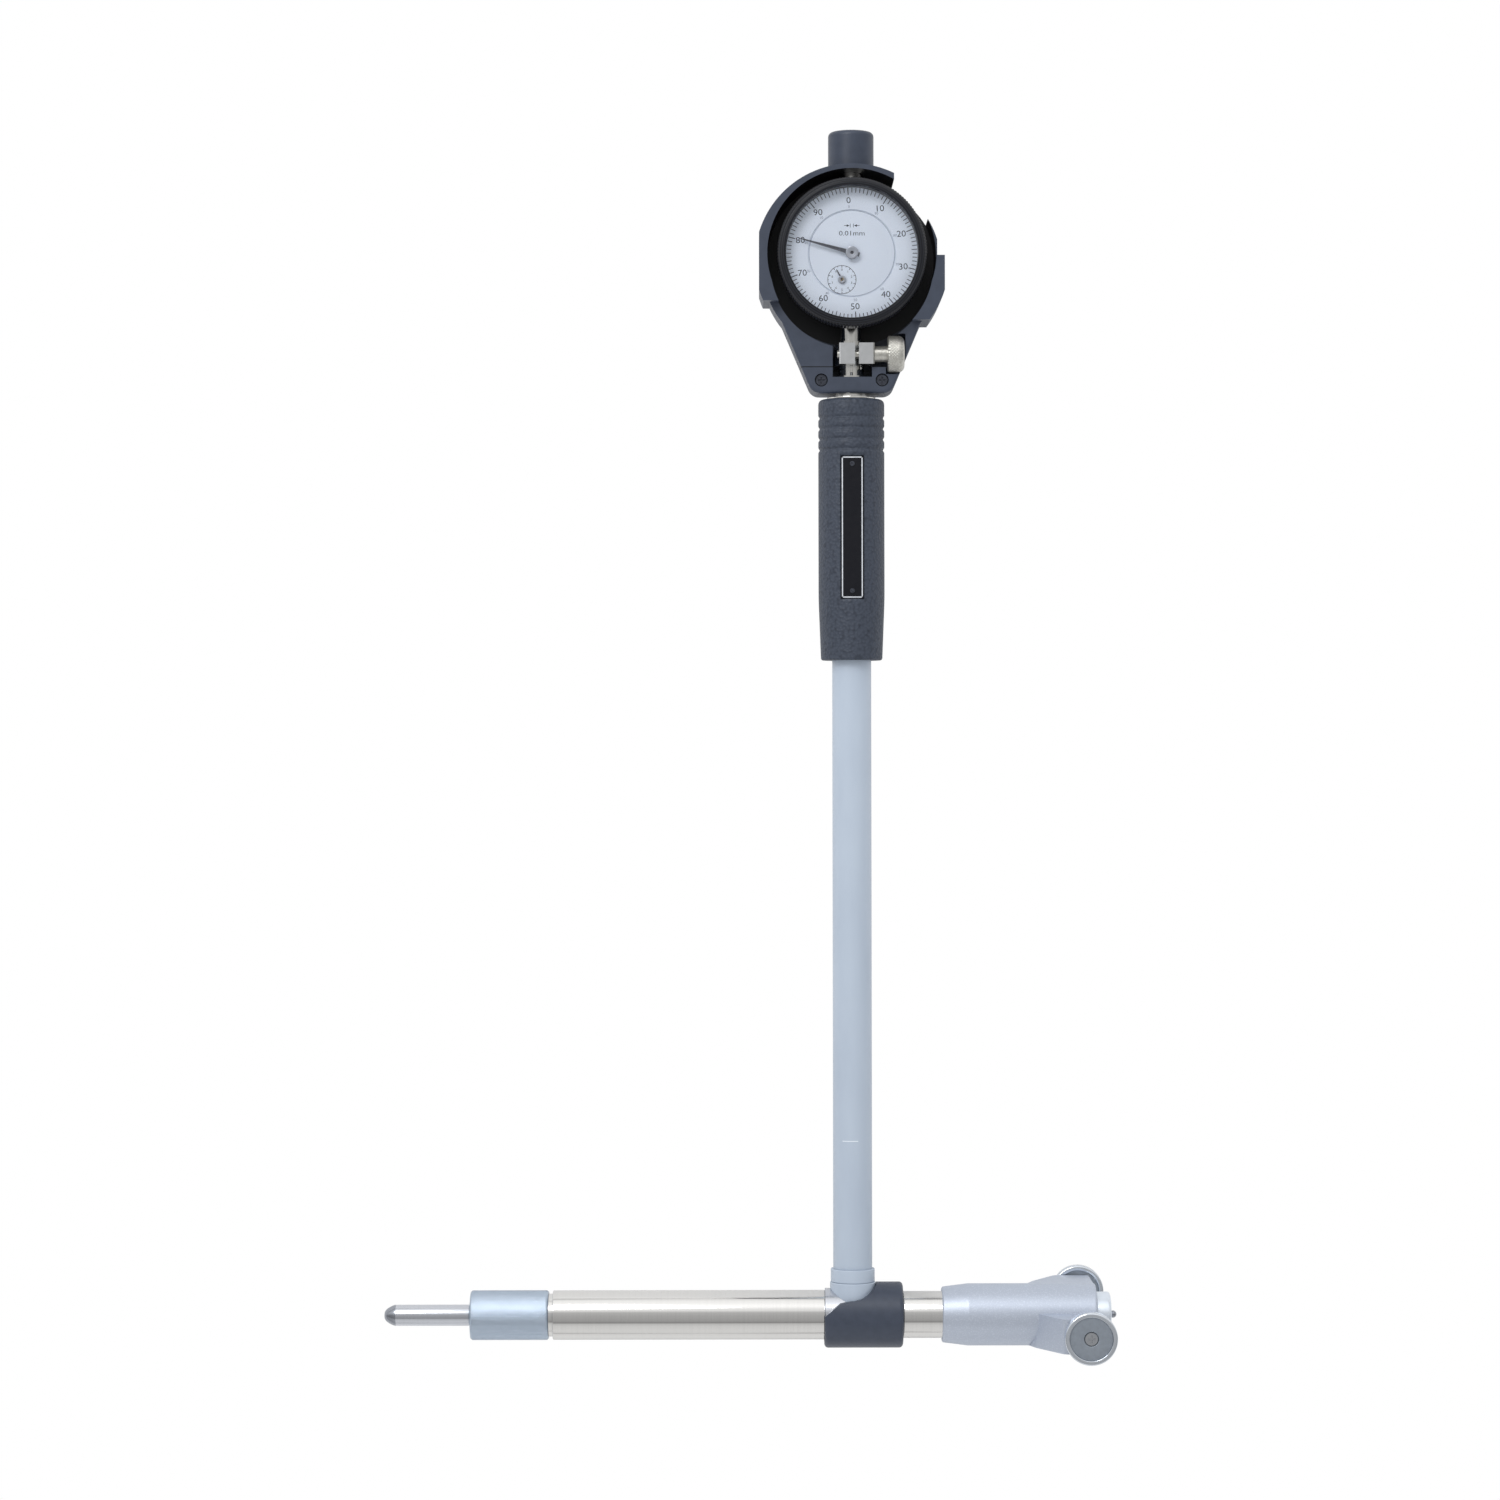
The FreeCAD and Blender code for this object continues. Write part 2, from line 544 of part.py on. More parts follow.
def cone(name, axis, start, low_dia, high_dia, length):
    item = doc.addObject("Part::Cone", name)
    bind(item, Radius1="(%s) / 2" % low_dia, Radius2="(%s) / 2" % high_dia, Height=length)
    return place(item, start, Z_TO[axis])


def block(name, low, high):
    """A box between two corners."""
    item = doc.addObject("Part::Box", name)
    spans = ["(%s) - (%s)" % (b, a) for a, b in zip(low, high)]
    bind(item, Length=spans[0], Width=spans[1], Height=spans[2])
    return place(item, low)


def ball(name, start, dia):
    return place(bind(doc.addObject("Part::Sphere", name), Radius="(%s) / 2" % dia), start)


def fuse(name, *pieces):
    item = doc.addObject("Part::MultiFuse", name)
    item.Shapes = list(pieces)
    item.Refine = True
    return item


def cut(name, base, *tools):
    item = doc.addObject("Part::Cut", name)
    item.Base = base
    item.Tool = tools[0] if len(tools) == 1 else fuse(name + "_tools", *tools)
    item.Refine = True
    return item


def common(name, first, second):
    item = doc.addObject("Part::Common", name)
    item.Base = first
    item.Tool = second
    item.Refine = True
    return item


def group(name, *pieces):
    """Like pieces that share one node as separate solids."""
    item = doc.addObject("Part::Compound", name)
    item.Links = list(pieces)
    return item


def spring(name, axis, start, coil_dia, wire, length, turns):
    """A coil spring of square wire; coil_dia is its mean diameter."""
    half_wire = "(%s) / 2" % wire
    helix = doc.addObject("Part::Helix", name + "_helix")
    bind(helix, Radius="(%s) / 2" % coil_dia, Height="(%s) - (%s)" % (length, wire),
         Pitch="((%s) - (%s)) / (%s)" % (length, wire, turns))
    section = doc.addObject("Part::RegularPolygon", name + "_section")
    section.Polygon = 4
    bind(section, Circumradius="(%s) / 1.4142" % wire)
    if axis == "+X":
        place(helix, ("(%s) + %s" % (start[0], half_wire), start[1], start[2]), Z_TO["+X"])
        place(section, ("(%s) + %s" % (start[0], half_wire), start[1], "(%s) - (%s) / 2" % (start[2], coil_dia)),
              FreeCAD.Rotation(V(1, 0, 0), 90))
    else:
        place(helix, (start[0], "(%s) + %s" % (start[1], half_wire), start[2]), Z_TO["+Y"])
        place(section, ("(%s) + (%s) / 2" % (start[0], coil_dia), "(%s) + %s" % (start[1], half_wire), start[2]),
              FreeCAD.Rotation())
    sweep = doc.addObject("Part::Sweep", name)
    sweep.Sections = [section]
    sweep.Spine = (helix, [])
    sweep.Solid = True
    sweep.Frenet = True
    return sweep


def cross_screw(name, facing, top, head_dia, head_tall, thread_dia, length, cross):
    """A screw with a cross recess. facing is the side that its head looks to, +Z or -Z."""
    down = "-Z" if facing == "+Z" else "+Z"
    body = fuse(name + "_blank", cylinder(name + "_head", down, top, head_dia, head_tall),
                cylinder(name + "_shank", down, top, thread_dia, length))
    deep = "%s * 0.3" % cross
    low = "(%s) - %s" % (top[2], deep if facing == "+Z" else "1")
    high = "(%s) + %s" % (top[2], "1" if facing == "+Z" else deep)
    bars = []
    for label, across, along in (("a", cross, "%s * 0.24" % cross), ("b", "%s * 0.24" % cross, cross)):
        bars.append(block("%s_bar_%s" % (name, label),
                          ("(%s) - (%s) / 2" % (top[0], across), "(%s) - (%s) / 2" % (top[1], along), low),
                          ("(%s) + (%s) / 2" % (top[0], across), "(%s) + (%s) / 2" % (top[1], along), high)))
    return cut(name, body, *bars)


def ring_profile(bore, outside, length):
    """Corners of a plain ring from its bore and outside diameters."""
    inner = "(%s) / 2" % bore
    outer = "(%s) / 2" % outside
    return [(inner, "0"), (outer, "0"), (outer, length), (inner, length)]


# ---------------------------------------------------------------------------
# Handle
# ---------------------------------------------------------------------------
def make_main_tube():
    return turned("main_tube", "+Y", ("0", "foot_top", "0"),
                  ring_profile("tube_bore", "tube_dia", "tube_top - foot_top"))


def make_tube_foot():
    """The saddle between the tube and the round tee."""
    blank = turned("foot_blank", "+Y", ("0", "foot_low", "0"),
                   ring_profile("tube_bore", "foot_dia", "foot_top - foot_low"),
                   {"collar_round / 2": [2]})
    tee_room = cylinder("foot_tee_room", "+X", ("-foot_dia", "0", "0"), "tee_dia + 2 * fit_gap", "2 * foot_dia")
    return cut("tube_foot", blank, tee_room)


def make_tube_collar():
    return turned("tube_collar", "+Y", ("0", "foot_top", "0"),
                  ring_profile("tube_dia + 2 * fit_gap", "collar_dia", "collar_tall"),
                  {"collar_round": [1, 2]})


def make_grip():
    """Moulded grip with finger grooves and a flat seat for the name plate."""
    length = "grip_top - grip_bottom"
    blank = turned("grip_blank", "+Y", ("0", "grip_bottom", "0"),
                   [("grip_bore / 2", "0"), ("grip_end_dia / 2", "0"), ("grip_dia / 2", "grip_taper"),
                    ("grip_dia / 2", length), ("grip_bore / 2", length)],
                   {"grip_round": [3], "grip_low_round": [1]})
    ring = "(groove_width ^ 2 / 4 + groove_depth ^ 2) / (2 * groove_depth)"
    tools = []
    for i in range(int(size("groove_count"))):
        groove = doc.addObject("Part::Torus", "groove_%d" % (i + 1))
        bind(groove, Radius1="grip_dia / 2 - groove_depth + " + ring, Radius2=ring)
        tools.append(place(groove, ("0", "grip_top - groove_drop - groove_pitch * %d" % i, "0"), Z_TO["+Y"]))
    tools.append(block("plate_seat_cut", ("-plate_width / 2 - fit_gap", "plate_top - plate_length - fit_gap", "plate_seat"),
                       ("plate_width / 2 + fit_gap", "plate_top + fit_gap", "grip_dia")))
    for i, height in enumerate(RIVET_HEIGHTS):
        tools.append(cylinder("grip_rivet_hole_%d" % (i + 1), "-Z", ("0", height, "grip_dia / 2"),
                              "rivet_dia * 0.6 + 2 * fit_gap", "grip_dia / 2 - plate_seat + 2"))
    return cut("grip", blank, *tools)


RIVET_HEIGHTS = ("plate_top - rivet_inset", "plate_top - plate_length + rivet_inset")


def make_name_plate():
    plate = block("plate_blank", ("-plate_width / 2", "plate_top - plate_length", "plate_seat"),
                  ("plate_width / 2", "plate_top", "plate_seat + plate_thick"))
    holes = [cylinder("plate_hole_%d" % (i + 1), "-Z", ("0", height, "plate_seat + 2 * plate_thick"),
                      "rivet_dia * 0.6 + 2 * fit_gap", "3 * plate_thick")
             for i, height in enumerate(RIVET_HEIGHTS)]
    return cut("name_plate", plate, *holes)


def make_plate_rivets():
    rivets = []
    for i, height in enumerate(RIVET_HEIGHTS):
        name = "plate_rivet_%d" % (i + 1)
        on_plate = ("0", height, "plate_seat + plate_thick")
        rivets.append(fuse(name, cylinder(name + "_head", "+Z", on_plate, "rivet_dia", "rivet_dia / 5"),
                           cylinder(name + "_shank", "-Z", on_plate, "rivet_dia * 0.6", "plate_thick + 1.8")))
    return group("plate_rivets", *rivets)


def make_grip_washer():
    return turned("grip_washer", "+Y", ("0", "grip_top", "0"),
                  ring_profile("neck_dia + 2 * fit_gap", "washer_dia", "washer_thick"),
                  {"washer_thick / 3": [2]})


def make_neck_bush():
    """Closes the tube, fills the grip's end and carries the collet and the cover."""
    foot = "neck_plug"
    shoulder = "neck_plug + grip_top - tube_top"
    top = "neck_plug + neck_top - tube_top"
    rod_room = "rod_button / 2 + 0.35"
    return turned("neck_bush", "+Y", ("0", "tube_top - neck_plug", "0"),
                  [(rod_room, "0"), ("tube_bore / 2 - fit_gap", "0"), ("tube_bore / 2 - fit_gap", foot),
                   ("tube_dia / 2", foot), ("tube_dia / 2", shoulder), ("neck_dia / 2", shoulder),
                   ("neck_dia / 2", top), ("collet_dia / 2 + fit_gap", top), ("collet_dia / 2 + fit_gap", foot),
                   (rod_room, foot)])


def make_stem_collet():
    blank = turned("collet_blank", "+Y", ("0", "tube_top", "0"),
                   ring_profile("collet_bore", "collet_dia", "collet_top - tube_top"))
    slot = block("collet_slot_cut", ("-collet_slot / 2", "neck_top", "-collet_dia"),
                 ("collet_slot / 2", "collet_top + 1", "collet_dia"))
    return cut("stem_collet", blank, slot)


def make_push_rod():
    collar = "rod_collar_low - rod_low"
    button = "rod_top - rod_button_tall - rod_low"
    return turned("push_rod", "+Y", ("0", "rod_low", "0"),
                  [("0", "0"), ("rod_dia / 2", "0"), ("rod_dia / 2", collar), ("rod_collar / 2", collar),
                   ("rod_collar / 2", collar + " + rod_collar_tall"), ("rod_dia / 2", collar + " + rod_collar_tall"),
                   ("rod_dia / 2", button), ("rod_button / 2", button), ("rod_button / 2", "rod_top - rod_low"),
                   ("0", "rod_top - rod_low")])


def make_rod_bushes():
    bushes = [turned(name, "+Y", ("0", low, "0"),
                     ring_profile("rod_dia + 2 * run_gap", "tube_bore - 2 * fit_gap", "bush_length"))
              for name, low in (("first_bush", "low_bush"), ("second_bush", "high_bush"))]
    return group("rod_bushes", *bushes)


def make_rod_spring():
    low = "rod_collar_low + rod_collar_tall + touch_gap"
    return spring("rod_spring", "+Y", ("0", low, "0"), "rod_dia + 3 * rod_wire", "rod_wire",
                  "low_bush - touch_gap - (%s)" % low, 4)


# ---------------------------------------------------------------------------
# Tee with the bell crank
# ---------------------------------------------------------------------------
def make_tee_body():
    solid = fuse("tee_solid",
                 cylinder("tee_barrel", "+X", ("-tee_left", "0", "0"), "tee_dia", "tee_left + tee_right"),
                 cylinder("tee_spigot", "-X", ("-tee_left", "0", "0"), "anvil_tube_bore - 2 * fit_gap", "tee_plug"),
                 cylinder("tee_boss", "+Y", ("0", "0", "0"), "tube_bore - 2 * fit_gap", "boss_tall"))
    socket = cylinder("tee_socket", "+X", ("head_tube_start", "0", "0"), "head_tube_dia + 2 * fit_gap", "tee_right")
    rod_hole = cylinder("tee_rod_hole", "+Y", ("0", "crank_arm", "0"), "rod_dia + 2 * run_gap", "boss_tall")
    plunger_hole = cylinder("tee_plunger_hole", "+X", ("plunger_start - travel - 0.5", "0", "0"),
                            "plunger_dia + 0.4", "head_tube_start")
    slot = block("tee_crank_slot", ("-crank_nose / 2 - 1.5", "-crank_nose / 2 - 1", "-slot_half"),
                 ("head_tube_start + 0.1", "crank_arm + crank_nose / 2 + travel + 0.4", "slot_half"))
    pin_hole = cylinder("tee_pin_hole", "+Z", ("pivot", "pivot", "-tee_dia"), "crank_pin + 2 * fit_gap",
                        "2 * tee_dia")
    return cut("tee_body", solid, socket, rod_hole, plunger_hole, slot, pin_hole)


def make_crank_pin():
    return cylinder("crank_pin", "+Z", ("pivot", "pivot", "-crank_pin_half"), "crank_pin",
                    "2 * crank_pin_half")


def make_bell_crank():
    """Two equal arms with rounded noses: one under the push rod, one before the plunger."""
    back = "-crank_thick / 2"
    front = "crank_thick / 2"
    hub = cylinder("crank_hub_disc", "+Z", ("pivot", "pivot", back), "crank_hub", "crank_thick")
    rod_nose = cylinder("crank_rod_nose", "+Z", ("0", "pivot", back), "crank_nose", "crank_thick")
    plunger_nose = cylinder("crank_plunger_nose", "+Z", ("pivot", "0", back), "crank_nose", "crank_thick")
    level_arm = block("crank_level_arm", ("0", "pivot - crank_bar / 2", back), ("pivot", "pivot + crank_bar / 2", front))
    down_arm = block("crank_down_arm", ("pivot - crank_bar / 2", "0", back), ("pivot + crank_bar / 2", "pivot", front))
    bore = cylinder("crank_bore", "+Z", ("pivot", "pivot", "-crank_thick"), "crank_pin + 2 * run_gap", "2 * crank_thick")
    return cut("bell_crank", fuse("crank_solid", hub, rod_nose, plunger_nose, level_arm, down_arm), bore)


def make_tee_sleeve():
    """Moulded sleeve, scooped out round the foot of the handle."""
    blank = turned("sleeve_blank", "+X", ("-tee_left - sleeve_over", "0", "0"),
                   ring_profile("tee_dia + 2 * fit_gap", "sleeve_dia", "tee_left + tee_right + 2 * sleeve_over"),
                   {"sleeve_round": [1, 2]})
    deep = "sleeve_dia"
    scoop = cylinder("sleeve_scoop_cut", "+Z", ("-0.9", "sleeve_scoop_low + sleeve_scoop", "-sleeve_dia / 2 - 1"),
                     "2 * sleeve_scoop", "sleeve_dia + 2")
    sweep = padded("sleeve_sweep_cut", Z_TO["+Z"], ("0", "0", "-sleeve_dia / 2 - 1"),
                   [("-0.9", "sleeve_scoop_low"), ("-0.9", deep), ("-tee_left - 3", deep),
                    ("-tee_left - 3", "-1.2"), ("-tee_left", "1"), ("-tee_left * 0.72", "sleeve_scoop_low * 0.56"),
                    ("-tee_left * 0.47", "sleeve_scoop_low * 0.87")], "sleeve_dia + 2")
    foot_room = cylinder("sleeve_foot_room", "+Y", ("0", "0", "0"), "foot_dia + 4 * fit_gap", "sleeve_dia")
    return cut("tee_sleeve", blank, scoop, sweep, foot_room)


# ---------------------------------------------------------------------------
# Anvil side
# ---------------------------------------------------------------------------
def make_anvil_tube():
    return turned("anvil_tube", "-X", ("-tee_left", "0", "0"),
                  ring_profile("anvil_tube_bore", "anvil_tube_dia", "anvil_tube_end - tee_left"),
                  {"tube_round": [1, 2]})


def make_anvil_bush():
    bore = "anvil_shank / 2 + fit_gap"
    plug = "anvil_tube_bore / 2 - fit_gap"
    collar = "bush_plug + groove_gap"
    return turned("anvil_bush", "-X", ("bush_plug - anvil_tube_end", "0", "0"),
                  [(bore, "0"), (plug, "0"), (plug, "bush_plug"), ("groove_dia / 2", "bush_plug"),
                   ("groove_dia / 2", collar), ("nose_dia / 2", collar), ("nose_dia / 2", collar + " + nose_length"),
                   (bore, collar + " + nose_length")])


def make_lock_nut():
    inner = "nose_dia / 2 + touch_gap"
    hole = "anvil_shank / 2 + 0.25"
    step = "nose_length + 0.5"
    return turned("lock_nut", "-X", ("-nut_start", "0", "0"),
                  [(inner, "0"), ("nut_dia / 2 - nut_chamfer", "0"), ("nut_dia / 2", "nut_chamfer"),
                   ("nut_dia / 2", "nut_length - nut_chamfer"), ("nut_dia / 2 - nut_chamfer", "nut_length"),
                   (hole, "nut_length"), (hole, step), (inner, step)])


def make_anvil_rod():
    step = "nut_end + anvil_step - anvil_inner"
    length = "anvil_tip_base - anvil_inner"
    stud = "tip_stud / 2 + fit_gap"
    return turned("anvil_rod", "-X", ("-anvil_inner", "0", "0"),
                  [("0", "0"), ("anvil_shank / 2", "0"), ("anvil_shank / 2", step), ("anvil_dia / 2", step),
                   ("anvil_dia / 2", length), (stud, length), (stud, length + " - 5"), ("0", length + " - 5")])


def make_anvil_tip():
    """Hard bullet nose on a stud."""
    stud = "4.8"
    end = stud + " + anvil_end - anvil_tip_base"
    return turned("anvil_tip", "-X", (stud + " - anvil_tip_base", "0", "0"),
                  [("0", "0"), ("tip_stud / 2", "0"), ("tip_stud / 2", stud), ("anvil_dia / 2", stud),
                   ("anvil_nose / 2 + 0.4", end + " - 1.4"), ("anvil_nose * 0.3", end + " - 0.25"), ("0", end)],
                  {"0.8": [4]})


# ---------------------------------------------------------------------------
# Contact side
# ---------------------------------------------------------------------------
def make_head_tube():
    blank = turned("head_tube_blank", "+X", ("head_tube_start", "0", "0"),
                   ring_profile("head_tube_bore", "head_tube_dia", "guide_end - head_tube_start"))
    slot = block("head_tube_slot",
                 ("key_at - key_dia / 2 - guide_travel - 0.2", "-key_dia / 2 - run_gap", "-head_tube_dia"),
                 ("key_at + key_dia / 2 + 0.1", "key_dia / 2 + run_gap", "-head_tube_bore / 4"))
    return cut("head_tube", blank, slot)


def make_plunger():
    collar = "plunger_collar_at - plunger_start"
    end = "plunger_end - plunger_start"
    stud = "contact_stud / 2 + fit_gap"
    return turned("plunger", "+X", ("plunger_start", "0", "0"),
                  [("0", "0"), ("plunger_push / 2", "0"), ("plunger_push / 2", "plunger_push_long"),
                   ("plunger_dia / 2", "plunger_push_long"), ("plunger_dia / 2", collar), ("plunger_collar / 2", collar),
                   ("plunger_collar / 2", collar + " + plunger_collar_wide"),
                   ("plunger_dia / 2", collar + " + plunger_collar_wide"), ("plunger_dia / 2", end), (stud, end),
                   (stud, end + " - 4"), ("0", end + " - 4")])


def make_plunger_bush():
    return turned("plunger_bush", "+X", ("plunger_bush_at", "0", "0"),
                  ring_profile("plunger_dia + 2 * run_gap", "head_tube_bore - 2 * fit_gap", "plunger_bush_long"))


def make_plunger_spring():
    start = "plunger_bush_at + plunger_bush_long + touch_gap"
    return spring("plunger_spring", "+X", (start, "0", "0"), "plunger_dia + 2.3 * plunger_wire", "plunger_wire",
                  "plunger_collar_at - touch_gap - (%s)" % start, 5)


def make_end_cap():
    bore = "plunger_dia / 2 + run_gap"
    mouth = "contact_ball / 2 + 0.2"
    front = "cap_plug + cap_end - cap_start"
    floor = "cap_plug + plunger_end - cap_start + 0.3"
    return turned("end_cap", "+X", ("cap_start - cap_plug", "0", "0"),
                  [(bore, "0"), ("head_tube_bore / 2 - fit_gap", "0"), ("head_tube_bore / 2 - fit_gap", "cap_plug"),
                   ("cap_dia / 2", "cap_plug"), ("cap_dia / 2", front), (mouth, front), (mouth, floor), (bore, floor)],
                  {"cap_round": [4]})


def make_contact_point():
    centre = "contact_reach - contact_ball / 2"
    return fuse("contact_point",
                cylinder("contact_stem", "+X", ("plunger_end - 3.8", "0", "0"), "contact_stud",
                         centre + " - plunger_end + 3.8"),
                ball("contact_round", (centre, "0", "0"), "contact_ball"))


def guide_arm(name, side):
    """One arm of the guide. side is 1 for the front arm; the rear one is the same, turned about X."""
    sign = "" if side > 0 else "-"
    arm = padded(name, FreeCAD.Rotation(V(1, 0, 0), 90 * side), ("0", sign + "arm_top", "0"),
                 [("arm_root", "0"), ("arm_ramp", "guide_dia / 2 - 1.4"), ("arm_crest", "arm_face"),
                  ("guide_end - guide_round / 2", "arm_face"), ("guide_end - guide_round / 2", "0")],
                 "arm_height")
    crest = (size("arm_crest"), size("arm_face"))

    def on_crest(edge):
        ends = [v.Point for v in edge.Vertexes]
        return all(abs(p.x - crest[0]) < 1e-4 and abs(p.y - crest[1]) < 1e-4 for p in ends)

    round_edges(arm, "arm_round", on_crest)
    return arm


def make_guide_body():
    """Cast guide that slides on the head tube, with an arm for each roller."""
    length = "guide_end - guide_start"
    bore = "head_tube_dia / 2 + run_gap"
    pieces = [turned("guide_barrel", "+X", ("guide_start", "0", "0"),
                     [(bore, "0"), ("guide_small_dia / 2", "0"), ("guide_dia / 2", "guide_taper"),
                      ("guide_dia / 2", length), (bore, length)], {"guide_round": [1, 3]})]
    tools = [cylinder("guide_bore_cut", "+X", ("0", "0", "0"), "head_tube_dia + 2 * run_gap", "2 * guide_end"),
             cylinder("guide_key_hole", "-Z", ("key_at", "0", "0"), "key_dia + 2 * fit_gap", "guide_dia")]
    for name, side, facing in (("front", 1, "+Z"), ("rear", -1, "-Z")):
        sign = "" if side > 0 else "-"
        away = "-" if side > 0 else ""
        pieces.append(guide_arm(name + "_arm", side))
        pieces.append(cylinder(name + "_arm_boss", facing,
                               ("roller_at", away + "roller_offset", sign + "(arm_face - 1)"), "arm_boss",
                               "roller_mid - web_half - touch_gap - arm_face + 1"))
        tools.append(cylinder(name + "_thread_hole", facing,
                              ("roller_at", away + "roller_offset", sign + "(arm_face - roller_thread)"),
                              "roller_shoulder + 2 * fit_gap", "2 * roller_thread"))
    return cut("guide_body", fuse("guide_solid", *pieces), *tools)


def make_guide_key():
    """Ring inside the head tube with the peg that joins it to the guide."""
    ring = turned("key_ring_body", "+X", ("key_at - key_ring / 2", "0", "0"),
                  ring_profile("plunger_dia + 0.6", "head_tube_bore - 2 * run_gap", "key_ring"))
    middle = "(head_tube_bore + plunger_dia) / 4"
    peg = cylinder("key_peg", "-Z", ("key_at", "0", "-" + middle), "key_dia", "guide_dia / 2 - 0.5 - " + middle)
    return fuse("guide_key", ring, peg)


def make_guide_spring():
    start = "plunger_bush_at + plunger_bush_long + touch_gap"
    return spring("guide_spring", "+X", (start, "0", "0"), "head_tube_bore - 2 * guide_wire", "guide_wire",
                  "key_at - key_ring / 2 - touch_gap - (%s)" % start, 6)


def make_rollers():
    """A rim and a dished disc for each roller, in front of and behind the guide."""
    made = []
    for name, facing, sign, away in (("front", "+Z", "", "-"), ("rear", "-Z", "-", "")):
        rim_at = ("roller_at", away + "roller_offset", sign + "(roller_mid - roller_width / 2)")
        disc_at = ("roller_at", away + "roller_offset", sign + "(roller_mid - web_half)")
        made.append(turned(name + "_roller_rim", facing, rim_at,
                           ring_profile("roller_dia - 2 * roller_rim", "roller_dia", "roller_width"),
                           {"roller_round": [1, 2]}))
        bore = "roller_shoulder / 2 + run_gap"
        edge = "roller_dia / 2 - roller_rim - fit_gap"
        made.append(turned(name + "_roller_disc", facing, disc_at,
                           [(bore, "0"), (edge, "0"), (edge, "2 * web_half"), ("roller_counterbore / 2", "2 * web_half"),
                            ("roller_counterbore / 2", "2 * web_half - roller_sink"), (bore, "2 * web_half - roller_sink")]))
    return made


def make_roller_screws():
    screws = []
    for name, facing, sign, away in (("front", "+Z", "", "-"), ("rear", "-Z", "-", "")):
        top = "roller_mid + web_half - roller_sink + touch_gap + roller_screw_tall"
        screws.append(cross_screw(name + "_roller_screw", facing,
                                  ("roller_at", away + "roller_offset", "%s(%s)" % (sign, top)), "roller_screw",
                                  "roller_screw_tall", "roller_shoulder", top + " - arm_face + roller_thread - 0.2",
                                  "roller_screw * 0.6"))
    return group("roller_screws", *screws)


# ---------------------------------------------------------------------------
# Protective cover
# ---------------------------------------------------------------------------
COVER_DEEP = "cover_back + cover_front"
BEHIND = "-cover_back - 1"


